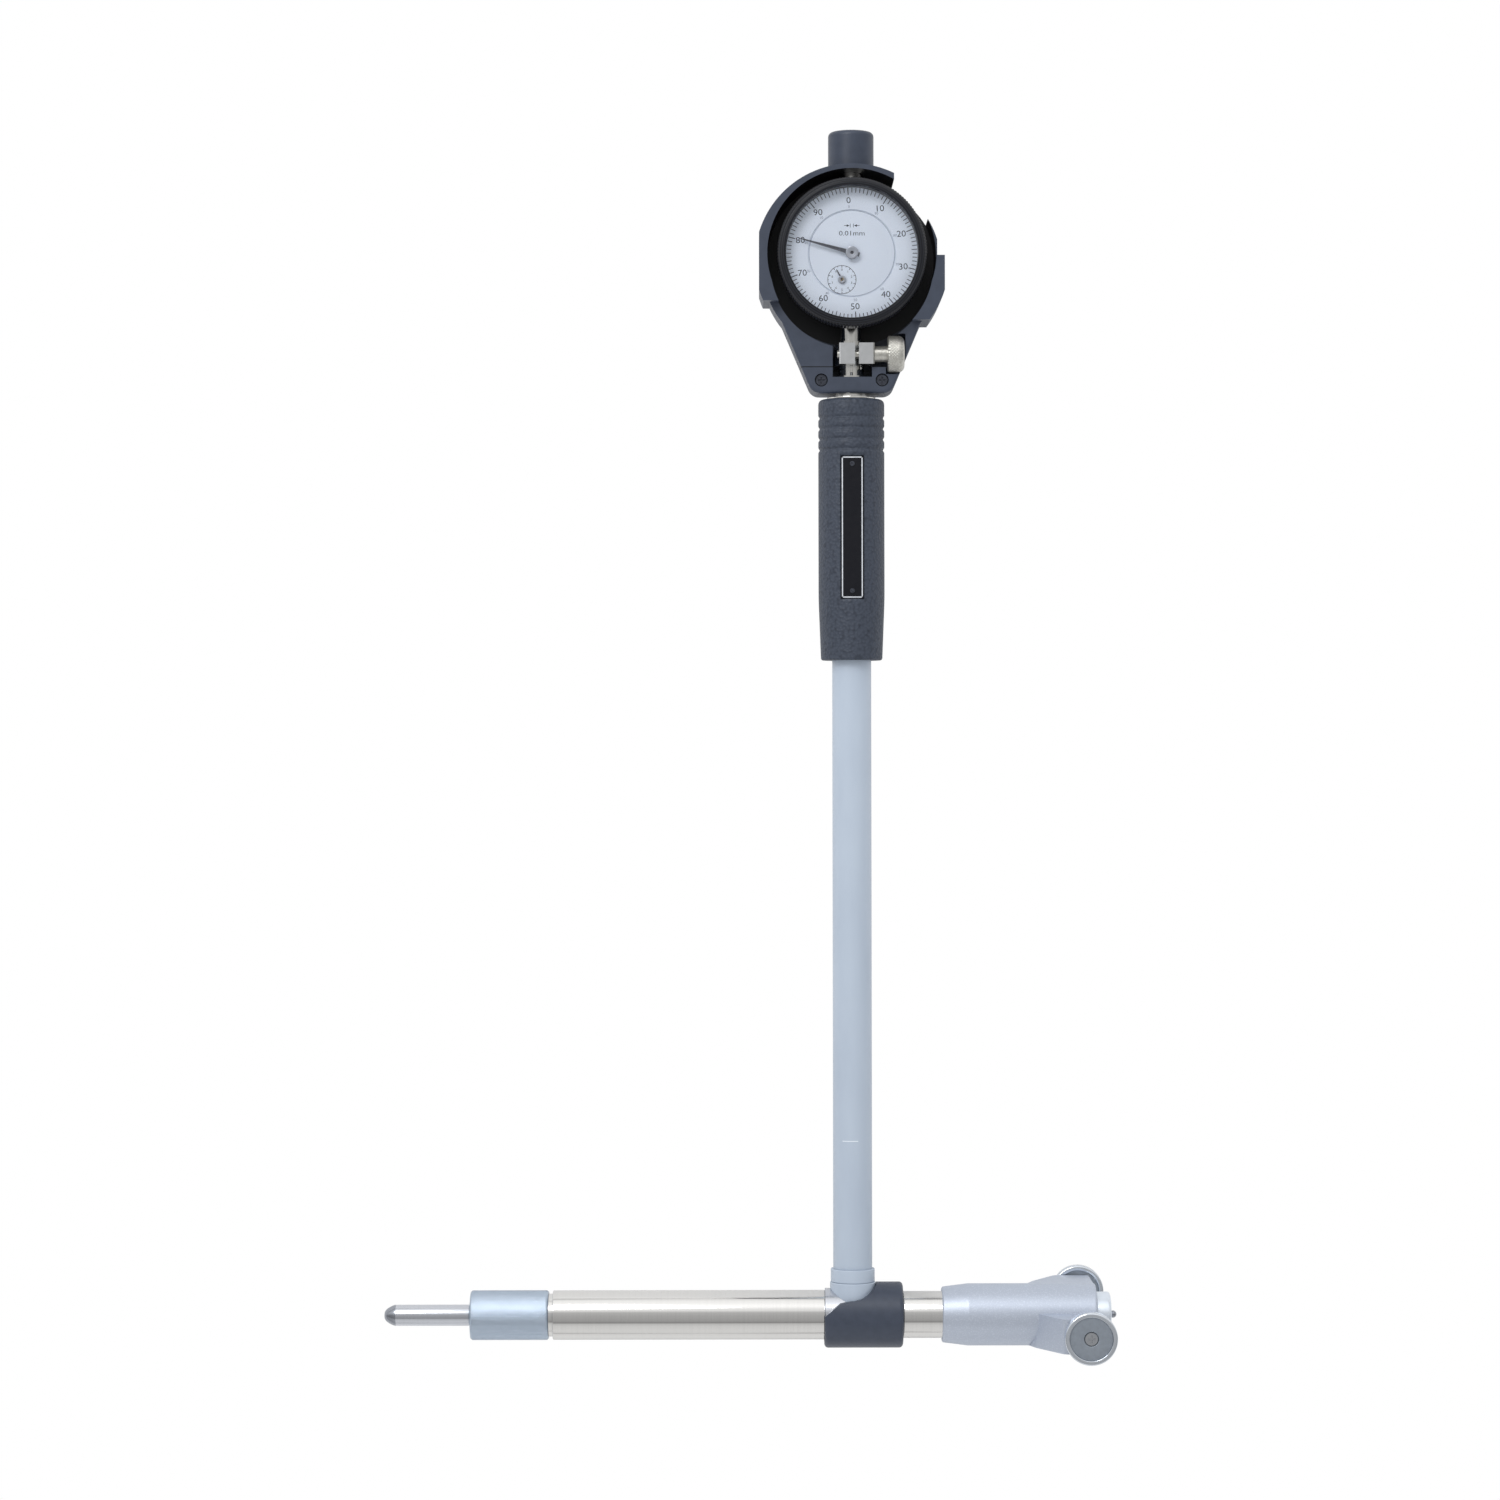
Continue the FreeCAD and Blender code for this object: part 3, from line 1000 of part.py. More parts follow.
def make_cover():
    """Moulded cover and the plate that clamps it to the neck."""
    wide = "funnel_half + funnel_flare * (funnel_top - cover_low)"
    funnel = padded("cover_funnel", Z_TO["+Z"], ("0", "0", "-cover_back"),
                    [("-funnel_half", "cover_low"), ("funnel_half", "cover_low"), (wide, "funnel_top"),
                     ("-(%s)" % wide, "funnel_top")], COVER_DEEP)
    low = size("cover_low")
    top = size("funnel_top")
    deep = size("cover_back") + size("cover_front")

    def on_low_corner(edge):
        ends = [v.Point for v in edge.Vertexes]
        return all(abs(p.y - low) < 1e-4 for p in ends) and abs(ends[0].z - ends[1].z) > 1

    def on_outline(edge):
        ends = [v.Point for v in edge.Vertexes]
        return abs(ends[0].z - ends[1].z) < 1e-4 and not all(abs(p.y - top) < 1e-4 for p in ends)

    round_edges(funnel, "cover_round", on_low_corner)
    round_edges(funnel, "cover_edge", on_outline)
    shell = common("cover_shell",
                   cylinder("shell_disc", "+Z", ("0", "shell_at", "-cover_back"), "2 * shell_radius", COVER_DEEP),
                   block("shell_width", ("-shell_flat", "shell_at - 2 * shell_radius", BEHIND),
                         ("shell_flat", "shell_at + 2 * shell_radius", "cover_front + 1")))
    guard_disc = common("guard_disc_flat",
                        cylinder("guard_disc", "+Z", ("0", "guard_at", "-cover_back"), "2 * guard_radius",
                                 "cover_back + guard_front"),
                        block("guard_width", ("-guard_flat", "guard_at - 2 * guard_radius", BEHIND),
                              ("guard_flat", "guard_at + 2 * guard_radius", "guard_front + 1")))
    guard_zone = fuse("guard_zone",
                      block("guard_left_zone", ("-2 * guard_radius", "guard_end_left", BEHIND),
                            ("guard_end_top", "guard_at + 2 * guard_radius", "guard_front + 1")),
                      block("guard_right_zone", ("guard_radius / 2", "guard_right_low", BEHIND),
                            ("2 * guard_radius", "guard_right_high", "guard_front + 1")))
    guard = common("cover_guard", guard_disc, guard_zone)
    tower = turned("cover_tower", "+Y", ("0", "guard_at", "0"),
                   [("0", "0"), ("cap_tower / 2", "0"), ("cap_tower / 2", "tower_top - guard_at"),
                    ("0", "tower_top - guard_at")], {"tower_round": [2]})
    solid = fuse("cover_solid", funnel, shell, guard, tower)

    window = block("cover_window", ("-window_left", "window_low", "-window_deep"),
                   ("window_right", "dial_at", "guard_front"))
    thumb_slot = block("cover_thumb_slot", ("0", "seam_at", "-thumb_floor"),
                       ("thumb_slot", "recess_at - recess_radius + 5", "guard_front"))
    head_room = cylinder("cover_head_room", "+X", ("head_start - thumb_room", "clamp_mid", "thumb_height"),
                         "thumb_head + 2 * thumb_room", "thumb_slot - head_start + thumb_room")
    neck_hole = cylinder("cover_neck_hole", "+Y", ("0", "cover_low - 1", "0"), "neck_dia + 2 * fit_gap",
                         "window_low - cover_low + 2")
    plate_room = block("cover_plate_room", ("-guard_radius", "cover_low - 1", "0"),
                       ("guard_radius", "seam_at + fit_gap", "guard_front"))
    screw_holes = []
    counterbores = []
    for label, sign in (("left", "-"), ("right", "")):
        at = (sign + "cover_screw_side", "cover_low + cover_screw_up", "cover_front + 1")
        screw_holes.append(cylinder("cover_hole_" + label, "-Z", at, "cover_screw_thread + 2 * fit_gap",
                                    "cover_screw_long + cover_screw_sink + 1.5"))
        counterbores.append(cylinder("cover_counterbore_" + label, "-Z", at, "cover_screw_dia + 0.8",
                                     "cover_screw_sink + cover_screw_dia * 0.4 + 1"))
    recess = fuse("cover_recess",
                  cylinder("recess_low", "+Z", ("0", "recess_at", "recess_floor"), "2 * recess_radius",
                           "guard_front + cover_back"),
                  cylinder("recess_high", "+Z", ("0", "dial_at", "recess_floor"), "2 * recess_high_radius",
                           "guard_front + cover_back"))
    tower_bore = cylinder("cover_tower_bore", "+Y", ("0", "dial_at", "0"), "stem_cap_dia + 0.6",
                          "tower_top - tower_wall - dial_at")
    cover = cut("dial_cover", solid, recess, window, thumb_slot, head_room, neck_hole, plate_room, tower_bore,
                *screw_holes)
    plate_zone = block("plate_zone", ("-guard_radius", "cover_low - 1", "0"), ("guard_radius", "seam_at", "guard_front"))
    plate = cut("cover_plate", common("plate_blank_zone", funnel, plate_zone), window, head_room, neck_hole,
                *(screw_holes + counterbores))
    screws = [cross_screw("cover_screw_" + label, "+Z",
                          (sign + "cover_screw_side", "cover_low + cover_screw_up", "cover_front - cover_screw_sink"),
                          "cover_screw_dia", "cover_screw_dia * 0.4", "cover_screw_thread", "cover_screw_long",
                          "cover_screw_dia * 0.6")
              for label, sign in (("left", "-"), ("right", ""))]
    return [cover, plate, group("cover_screws", *screws)]


# ---------------------------------------------------------------------------
# Stem clamp
# ---------------------------------------------------------------------------
def make_stem_clamp():
    """Split ring with two ears in front of the stem."""
    ring = cylinder("clamp_ring", "+Y", ("0", "clamp_low", "0"), "clamp_dia", "clamp_tall")
    ears = padded("clamp_ears", FreeCAD.Rotation(V(1, 0, 0), 90), ("0", "clamp_low + clamp_tall", "0"),
                  [("ear_left", "0"), ("ear_right", "0"), ("ear_right", "ear_front - ear_chamfer"),
                   ("ear_right - ear_chamfer", "ear_front"), ("ear_left + ear_chamfer", "ear_front"),
                   ("ear_left", "ear_front - ear_chamfer")], "clamp_tall")
    bore = cylinder("clamp_bore", "+Y", ("0", "clamp_low - 1", "0"), "collet_dia + 2 * fit_gap", "clamp_tall + 2")
    split = block("clamp_split", ("ear_middle - ear_split / 2", "clamp_low - 1", "0"),
                  ("ear_middle + ear_split / 2", "clamp_low + clamp_tall + 1", "ear_front + 1"))
    hole = cylinder("clamp_screw_hole", "+X", ("ear_left - 1", "clamp_mid", "thumb_height"), "thumb_thread + 0.3",
                    "ear_right - ear_left + 2")
    return cut("stem_clamp", fuse("clamp_solid", ring, ears), bore, split, hole)


def make_clamp_screw():
    start = "ear_left - thumb_end"
    shank = "ear_right + fit_gap - (%s)" % start
    head = shank + " + thumb_shank_long"
    end = head + " + thumb_head_long"
    return turned("clamp_screw", "+X", (start, "clamp_mid", "thumb_height"),
                  [("0", "0"), ("thumb_thread / 2", "0"), ("thumb_thread / 2", shank), ("thumb_shank / 2", shank),
                   ("thumb_shank / 2", head), ("thumb_head / 2 - 0.5", head), ("thumb_head / 2", head + " + 0.5"),
                   ("thumb_head / 2", end), ("0", end)], {"thumb_dome": [7]})


# ---------------------------------------------------------------------------
# Dial indicator: case
# ---------------------------------------------------------------------------
def dial_point(x, y, z):
    """A place given from the dial's centre."""
    return (x, "dial_at + (%s)" % y, z)


LUG_ANGLES = (45, 135, 225, 315)


def make_indicator_case():
    inner = "case_dia / 2 - case_wall"
    ledge = "case_dia / 2 - case_wall - case_ledge"
    front = "case_back + case_front"
    step = "case_back + high_bridge_level"
    ring = turned("case_ring", "+Z", dial_point("0", "0", "-case_back"),
                  [(ledge, "0"), ("case_dia / 2", "0"), ("case_dia / 2", front), (inner, front), (inner, step),
                   (ledge, step)])
    lugs = [cylinder("case_lug_%d" % angle, "+Z", lug_place(angle, "-case_back"), "lug_dia", "case_back / 2")
            for angle in LUG_ANGLES]
    stem_hole = cylinder("case_stem_hole", "-Y", dial_point("0", "-case_dia / 3", "0"), "stem_dia + 2 * fit_gap",
                         "case_dia / 3")
    cap_hole = cylinder("case_cap_hole", "+Y", dial_point("0", "case_dia / 3", "0"), "stem_cap_dia + 2 * fit_gap",
                        "case_dia / 3")
    holes = [cylinder("lug_hole_%d" % angle, "+Z", lug_place(angle, "-case_back - 1"),
                      "back_screw_dia * 0.6 + 2 * fit_gap", "back_screw_long + 1") for angle in LUG_ANGLES]
    return cut("indicator_case", fuse("case_solid", ring, *lugs), stem_hole, cap_hole, *holes)


def lug_place(angle, height):
    return dial_point("back_screw_circle / 2 * cos(%d)" % angle, "back_screw_circle / 2 * sin(%d)" % angle, height)


def make_case_back():
    plate = cylinder("back_disc", "-Z", dial_point("0", "0", "-case_back"), "case_dia - 0.8", "back_thick")
    holes = []
    for angle in LUG_ANGLES:
        holes.append(cylinder("back_hole_%d" % angle, "-Z", lug_place(angle, "0"),
                              "back_screw_dia * 0.6 + 2 * fit_gap", "2 * case_back"))
        holes.append(cylinder("back_sink_%d" % angle, "-Z", lug_place(angle, "-case_back - back_thick / 2"),
                              "back_screw_dia + 2 * fit_gap", "back_thick"))
    return cut("case_back", plate, *holes)


def make_back_screws():
    screws = []
    for angle in LUG_ANGLES:
        name = "back_screw_%d" % angle
        seat = lug_place(angle, "-case_back - back_thick / 2")
        screws.append(fuse(name, cylinder(name + "_head", "-Z", seat, "back_screw_dia", "back_thick / 2"),
                           cylinder(name + "_shank", "+Z", seat, "back_screw_dia * 0.6", "back_screw_long")))
    return group("back_screws", *screws)


def make_indicator_stem():
    return turned("indicator_stem", "+Y", ("0", "stem_low", "0"),
                  ring_profile("spindle_dia + 2 * run_gap", "stem_dia",
                               "dial_at - case_dia / 2 + case_wall + case_ledge - stem_low"))


def make_stem_cap():
    length = "stem_cap_top - dial_at - case_dia / 2 + case_wall + case_ledge"
    return turned("stem_cap", "+Y", dial_point("0", "case_dia / 2 - case_wall - case_ledge", "0"),
                  [("stem_cap_bore / 2", "0"), ("stem_cap_dia / 2", "0"), ("stem_cap_dia / 2", length), ("0", length),
                   ("0", length + " - 1.2"), ("stem_cap_bore / 2", length + " - 1.2")])


def make_bezel():
    """Turning bezel with a ledge for the graduated ring and a groove for the crystal."""
    outer = "bezel_dia / 2"
    open_edge = "face_dia / 2 + touch_gap"
    groove = "face_dia / 2 + crystal_edge + fit_gap"
    neck = "case_dia / 2 + touch_gap"
    ledge = "case_dia / 2 - case_wall - touch_gap"
    tall = "bezel_front - bezel_back"
    ledge_low = "case_front - bezel_back + 2 * touch_gap"
    ledge_top = "face_level - face_thick - bezel_back"
    seat = "crystal_level - bezel_back"
    return turned("bezel", "+Z", dial_point("0", "0", "bezel_back"),
                  [(neck, "0"), (outer, "0"), (outer, tall + " - bezel_bevel"), (outer + " - bezel_bevel", tall),
                   (open_edge, tall), (open_edge, seat + " + crystal_thick + fit_gap"),
                   (groove, seat + " + crystal_thick + fit_gap"), (groove, seat), (open_edge, seat),
                   (open_edge, ledge_top), (ledge, ledge_top), (ledge, ledge_low), (neck, ledge_low)])


def make_crystal():
    return cylinder("crystal", "+Z", dial_point("0", "0", "crystal_level"), "face_dia + 2 * crystal_edge",
                    "crystal_thick")


def make_dial_ring():
    return turned("dial_ring", "+Z", dial_point("0", "0", "face_level - face_thick"),
                  ring_profile("disc_dia + 0.5", "face_dia", "face_thick"))


def make_dial_disc():
    disc = cylinder("disc_blank", "+Z", dial_point("0", "0", "disc_level"), "disc_dia", "face_thick")
    feet = [cylinder("disc_foot_" + label, "+Z",
                     dial_point(sign + "foot_pin_side", "0", "high_bridge_level + bridge_thick"), "foot_pin",
                     "disc_level - high_bridge_level - bridge_thick")
            for label, sign in (("left", "-"), ("right", ""))]
    centre_hole = cylinder("disc_centre_hole", "+Z", dial_point("0", "0", "disc_level - 1"), "arbor_dia + 0.6", "3")
    counter_hole = cylinder("disc_counter_hole", "+Z", dial_point("counter_x", "counter_y", "disc_level - 1"),
                            "arbor_dia + 0.6", "3")
    return cut("dial_disc", fuse("disc_solid", disc, *feet), centre_hole, counter_hole)


def pointer(name, centre, angle, level, reach, tail, root, tip, hub_dia, hub_tall, sink):
    """A tapered blade on a round hub, with a hole for its arbor."""
    turn = FreeCAD.Rotation(V(0, 0, 1), size(angle))
    blade = padded(name + "_blade", turn, dial_point(centre[0], centre[1], level),
                   [("-(%s)" % tail, "-(%s) / 2" % root), (reach, "-(%s) / 2" % tip), (reach, "(%s) / 2" % tip),
                    ("-(%s)" % tail, "(%s) / 2" % root)], "hand_thick")
    hub_level = "%s - (%s)" % (level, sink)
    hub = cylinder(name + "_hub", "+Z", dial_point(centre[0], centre[1], hub_level), hub_dia, hub_tall)
    bore = cylinder(name + "_bore", "+Z", dial_point(centre[0], centre[1], hub_level + " - 1"),
                    "arbor_dia + 2 * fit_gap", "(%s) + 0.7" % hub_tall)
    return cut(name, fuse(name + "_solid", blade, hub), bore)


def make_main_pointer():
    return pointer("main_pointer", ("0", "0"), "hand_angle", "hand_level", "hand_reach", "hand_tail + hand_hub / 2",
                   "hand_root", "hand_tip", "hand_hub", "hand_hub_tall", "0.4")


def make_counter_pointer():
    return pointer("counter_pointer", ("counter_x", "counter_y"), "counter_hand_angle", "counter_level",
                   "counter_reach", "counter_hub / 2 + 0.6", "hand_tip * 2", "hand_tip * 0.7", "counter_hub",
                   "counter_hub_tall", "0.2")


# ---------------------------------------------------------------------------
# Dial indicator: movement
# ---------------------------------------------------------------------------
def gear(name, teeth, module, centre, level, thick, first_tooth):
    """A spur gear with straight-flanked teeth, one of them pointing at first_tooth degrees."""
    pitch_radius = module * teeth / 2
    step = 2 * math.pi / teeth
    root = pitch_radius - 1.15 * module
    tip = pitch_radius + 0.8 * module
    root_half = 0.25 * math.pi * module / pitch_radius
    tip_half = 0.15 * math.pi * module / pitch_radius
    corners = []
    for i in range(teeth):
        middle = math.radians(first_tooth) + i * step
        for radius, angle in ((root, -root_half), (tip, -tip_half), (tip, tip_half), (root, root_half)):
            corners.append(V(radius * math.cos(middle + angle), radius * math.sin(middle + angle), 0))
    face = Part.Face(Part.makePolygon(corners + corners[:1]))
    item = doc.addObject("Part::Feature", name)
    item.Shape = face.extrude(V(0, 0, thick))
    return place(item, dial_point(centre[0], centre[1], level))


def make_pinion_wheel():
    """The rack's pinion and the large wheel on one arbor, which also turns the counter."""
    centre = ("counter_x", "counter_y")
    rack_pinion = gear("rack_pinion", int(size("pinion_teeth")), size("rack_pitch") / math.pi, centre,
                       "-pinion_wide / 2", size("pinion_wide"), 0)
    wheel = gear("rack_wheel", int(size("wheel_teeth")), size("wheel_module"), centre, "wheel_level",
                 size("wheel_thick"), size("counter_angle") - 180)
    arbor = cylinder("rack_arbor", "+Z", dial_point(centre[0], centre[1], "-pinion_wide / 2"), "arbor_dia",
                     "counter_level + 0.1 + pinion_wide / 2")
    return fuse("pinion_wheel", rack_pinion, wheel, arbor)


def make_centre_arbor():
    teeth = int(size("centre_teeth"))
    pinion = gear("centre_pinion", teeth, size("wheel_module"), ("0", "0"),
                  "wheel_level - 0.3", size("take_up_level") + size("wheel_thick") - size("wheel_level") + 0.6,
                  size("counter_angle") + 180 / teeth)
    arbor = cylinder("centre_rod", "+Z", dial_point("0", "0", "low_bridge_level + fit_gap"), "arbor_dia",
                     "hand_level - low_bridge_level - fit_gap + 0.1")
    return fuse("centre_arbor", pinion, arbor)


def make_take_up_wheel():
    """Wheel that keeps the train free of backlash, with its flat spiral spring."""
    centre = ("take_up_x", "take_up_y")
    wheel = gear("take_up_disc", int(size("wheel_teeth")), size("wheel_module"), centre, "take_up_level",
                 size("wheel_thick"), size("take_up_angle") - 180)
    arbor = cylinder("take_up_rod", "+Z", dial_point(centre[0], centre[1], "low_bridge_level + fit_gap"), "arbor_dia",
                     "high_bridge_level + bridge_thick - low_bridge_level - 2 * fit_gap")
    inner = size("arbor_dia") / 2 - 0.1
    pitch = 0.9
    turns = 3
    steps = 14 * turns
    ribbon = 0.15
    near = []
    far = []
    for i in range(steps + 1):
        angle = 2 * math.pi * turns * i / steps
        radius = inner + pitch * turns * i / steps
        out = V(math.cos(angle), math.sin(angle), 0)
        near.append(out * radius)
        far.append(out * (radius + ribbon))
    outline = near + far[::-1]
    spiral = doc.addObject("Part::Feature", "hairspring")
    spiral.Shape = Part.Face(Part.makePolygon(outline + outline[:1])).extrude(V(0, 0, 0.5))
    place(spiral, dial_point(centre[0], centre[1], "take_up_level + wheel_thick + 0.5"))
    return fuse("take_up_wheel", wheel, arbor, spiral)


PILLAR_ANGLES = (345, 120, 200)
BEARINGS = (("centre", "0", "0"), ("rack", "counter_x", "counter_y"), ("take_up", "take_up_x", "take_up_y"))


def make_lower_bridge():
    """Plate with the lower bearings, its riveted pillars and the return spring's post."""
    plate = cylinder("low_plate", "+Z", dial_point("0", "0", "low_bridge_level"), "low_bridge_dia", "bridge_thick")
    pillars = [cylinder("pillar_%d" % angle, "+Z",
                        dial_point("pillar_side * cos(%d)" % angle, "pillar_side * sin(%d)" % angle,
                                   "low_bridge_level + bridge_thick"), "pillar_dia",
                        "high_bridge_level - low_bridge_level - bridge_thick") for angle in PILLAR_ANGLES]
    post = cylinder("spring_post", "-Z", dial_point("spring_side", "-spring_post_down", "low_bridge_level"),
                    "guide_pin_dia", "low_bridge_level + 1.5")
    bearings = [cylinder("low_bearing_" + name, "+Z", dial_point(x, y, "low_bridge_level - 1"),
                         "arbor_dia + 2 * run_gap", "bridge_thick + 2") for name, x, y in BEARINGS]
    return cut("lower_bridge", fuse("low_bridge_solid", plate, post, *pillars), *bearings)


def make_upper_bridge():
    plate = cylinder("high_plate", "+Z", dial_point("0", "0", "high_bridge_level"),
                     "case_dia - 2 * case_wall - 2 * fit_gap", "bridge_thick")
    bearings = [cylinder("high_bearing_" + name, "+Z", dial_point(x, y, "high_bridge_level - 1"),
                         "arbor_dia + 2 * run_gap", "bridge_thick + 2") for name, x, y in BEARINGS]
    return cut("upper_bridge", plate, *bearings)


def make_spindle():
    """Spindle with rack teeth cut into the side that faces the pinion."""
    rod = cylinder("spindle_rod", "+Y", ("0", "spindle_low", "0"), "spindle_dia", "spindle_top - spindle_low")
    pitch = size("rack_pitch")
    line = size("rack_line")
    mouth = size("spindle_dia") / 2 + 0.1
    root = line + 0.2
    count = int(size("rack_teeth")) + 1
    gaps = []
    for i in range(count):
        middle = (i - count // 2) * pitch
        corners = [V(-mouth, middle - 0.36 * pitch, 0), V(root, middle - 0.18 * pitch, 0),
                   V(root, middle + 0.18 * pitch, 0), V(-mouth, middle + 0.36 * pitch, 0)]
        gap = Part.Face(Part.makePolygon(corners + corners[:1]))
        gaps.append(gap.extrude(V(0, 0, 2 * mouth)))
    comb = doc.addObject("Part::Feature", "rack_gaps")
    comb.Shape = Part.makeCompound(gaps)
    place(comb, dial_point("0", "counter_y", "-spindle_dia / 2 - 0.1"))
    pin_hole = cylinder("spindle_pin_hole", "+X", dial_point("0.6", "guide_pin_up", "0"),
                        "guide_pin_dia + 2 * fit_gap", "spindle_dia")
    tip_hole = cylinder("spindle_tip_hole", "+Y", ("0", "spindle_low - 1", "0"), "tip_neck + 2 * fit_gap", "6.4")
    return cut("spindle", rod, comb, pin_hole, tip_hole)


def make_guide_pin():
    return cylinder("guide_pin", "+X", dial_point("0.7", "guide_pin_up", "0"), "guide_pin_dia",
                    "guide_pin_reach - 0.7")


def make_contact_tip():
    centre = "rod_top + touch_gap + tip_ball / 2"
    return fuse("contact_tip",
                ball("tip_round", ("0", centre, "0"), "tip_ball"),
                cone("tip_taper", "+Y", ("0", centre, "0"), "tip_ball * 0.8", "spindle_dia - 0.4", "4"),
                cylinder("tip_body", "+Y", ("0", centre + " + 4", "0"), "spindle_dia - 0.4",
                         "spindle_low - (%s) - 4" % centre),
                cylinder("tip_stud_rod", "+Y", ("0", "spindle_low", "0"), "tip_neck", "5"))


def make_return_spring():
    low = "-spring_post_down + guide_pin_dia / 2 + touch_gap"
    return spring("return_spring", "+Y", dial_point("spring_side", low, "0"), "3", "return_wire",
                  "guide_pin_up + spring_post_down - guide_pin_dia - 2 * touch_gap", 6)


# ---------------------------------------------------------------------------
# Build, check and write
# ---------------------------------------------------------------------------
def build():
    parts = [make_main_tube(), make_tube_foot(), make_tube_collar(), make_grip(), make_name_plate(),
             make_plate_rivets(), make_grip_washer(), make_neck_bush(), make_stem_collet(), make_push_rod(),
             make_rod_bushes(), make_rod_spring(), make_tee_body(), make_crank_pin(), make_bell_crank(),
             make_tee_sleeve(), make_anvil_tube(), make_anvil_bush(), make_lock_nut(), make_anvil_rod(),
             make_anvil_tip(), make_head_tube(), make_plunger(), make_plunger_bush(), make_plunger_spring(),
             make_end_cap(), make_contact_point(), make_guide_body(), make_guide_key(), make_guide_spring(),
             make_roller_screws(), make_stem_clamp(), make_clamp_screw(), make_indicator_case(),
             make_case_back(), make_back_screws(), make_indicator_stem(), make_stem_cap(), make_bezel(),
             make_crystal(), make_dial_ring(), make_dial_disc(), make_main_pointer(), make_counter_pointer(),
             make_pinion_wheel(), make_centre_arbor(), make_take_up_wheel(), make_lower_bridge(),
             make_upper_bridge(), make_spindle(), make_guide_pin(), make_contact_tip(), make_return_spring()]
    return parts + make_rollers() + make_cover()


def check(parts):
    """Stop with a plain message if anything in the document is not sound."""
    doc.recompute()
    failed = [item.Label for item in doc.Objects if "Invalid" in item.State or "Error" in item.State]
    if failed:
        raise RuntimeError("did not build: " + ", ".join(failed))
    unsound = [part.Label for part in parts
               if part.Shape.isNull() or not part.Shape.isValid() or not part.Shape.Solids]
    if unsound:
        raise RuntimeError("no sound solid: " + ", ".join(unsound))


def write(parts):
    os.makedirs("parts", exist_ok=True)
    for part in parts:
        part.Shape.exportStep(os.path.join("parts", part.Label + ".step"))


all_parts = build()
check(all_parts)
write(all_parts)
for part in all_parts:
    print("%-20s %2d solid(s) %10.2f mm3" % (part.Label, len(part.Shape.Solids), part.Shape.Volume))
print(len(all_parts), "nodes")
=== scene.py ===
"""Looks of the dial bore gauge, lying on its back on a white table.

Lengths are in millimetres, measured from the point where the handle's axis crosses the
measuring axis, and at() turns them into the row frame in metres.
"""
import math

import bmesh
import bpy
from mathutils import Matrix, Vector


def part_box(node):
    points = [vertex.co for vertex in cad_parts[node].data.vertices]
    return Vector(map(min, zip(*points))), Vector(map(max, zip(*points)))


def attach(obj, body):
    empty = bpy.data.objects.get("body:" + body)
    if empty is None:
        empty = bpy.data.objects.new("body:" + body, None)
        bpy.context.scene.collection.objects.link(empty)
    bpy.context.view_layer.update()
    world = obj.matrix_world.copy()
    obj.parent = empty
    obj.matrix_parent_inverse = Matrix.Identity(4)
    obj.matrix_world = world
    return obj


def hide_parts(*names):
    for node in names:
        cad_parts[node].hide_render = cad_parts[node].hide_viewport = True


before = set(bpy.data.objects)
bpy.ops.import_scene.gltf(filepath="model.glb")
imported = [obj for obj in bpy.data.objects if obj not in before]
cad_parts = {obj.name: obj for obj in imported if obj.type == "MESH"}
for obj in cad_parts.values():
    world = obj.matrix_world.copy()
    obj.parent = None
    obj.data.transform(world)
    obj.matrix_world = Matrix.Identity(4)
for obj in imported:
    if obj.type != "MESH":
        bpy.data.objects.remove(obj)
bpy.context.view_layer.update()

MM = 0.001


def middle(node):
    """The middle of a node's box, in millimetres of the row frame."""
    low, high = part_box(node)
    return (low + high) / (2 * MM)


CROSSING = Vector((middle("main_tube").x, middle("anvil_rod").y, middle("anvil_rod").z))
DIAL_Y = (middle("bezel") - CROSSING).y
COUNTER = (-3.8, -10.06)    # the small counter's centre, from the dial's
DIAL_TURN = 3.5             # degrees that the graduations are turned by

MARK_Y = 67.4               # painted mark on the tube
SEAM_Y = 364.05             # joint between the cover and its lower plate
RECESS_RADIUS = 33.0        # painted shade: the cover is darkened inside this distance of the dial's axis
RIM_Z = 14.8                # ... and below this height
LEDGE_X = 15.6              # the ledge right of this and above LEDGE_Z stays grey, without the painted shade
LEDGE_Z = 8.3


def at(x, y, z):
    """A place in the row frame, in metres, from one measured from the crossing."""
    return (Vector((x, y, z)) + CROSSING) * MM


# ---------------------------------------------------------------------------
# Materials
# ---------------------------------------------------------------------------
def rgb(red, green, blue):
    """A screen colour from 0 to 255 as a linear colour."""
    def linear(value):
        value /= 255
        return value / 12.92 if value <= 0.04045 else ((value + 0.055) / 1.055) ** 2.4
    return (linear(red), linear(green), linear(blue), 1.0)


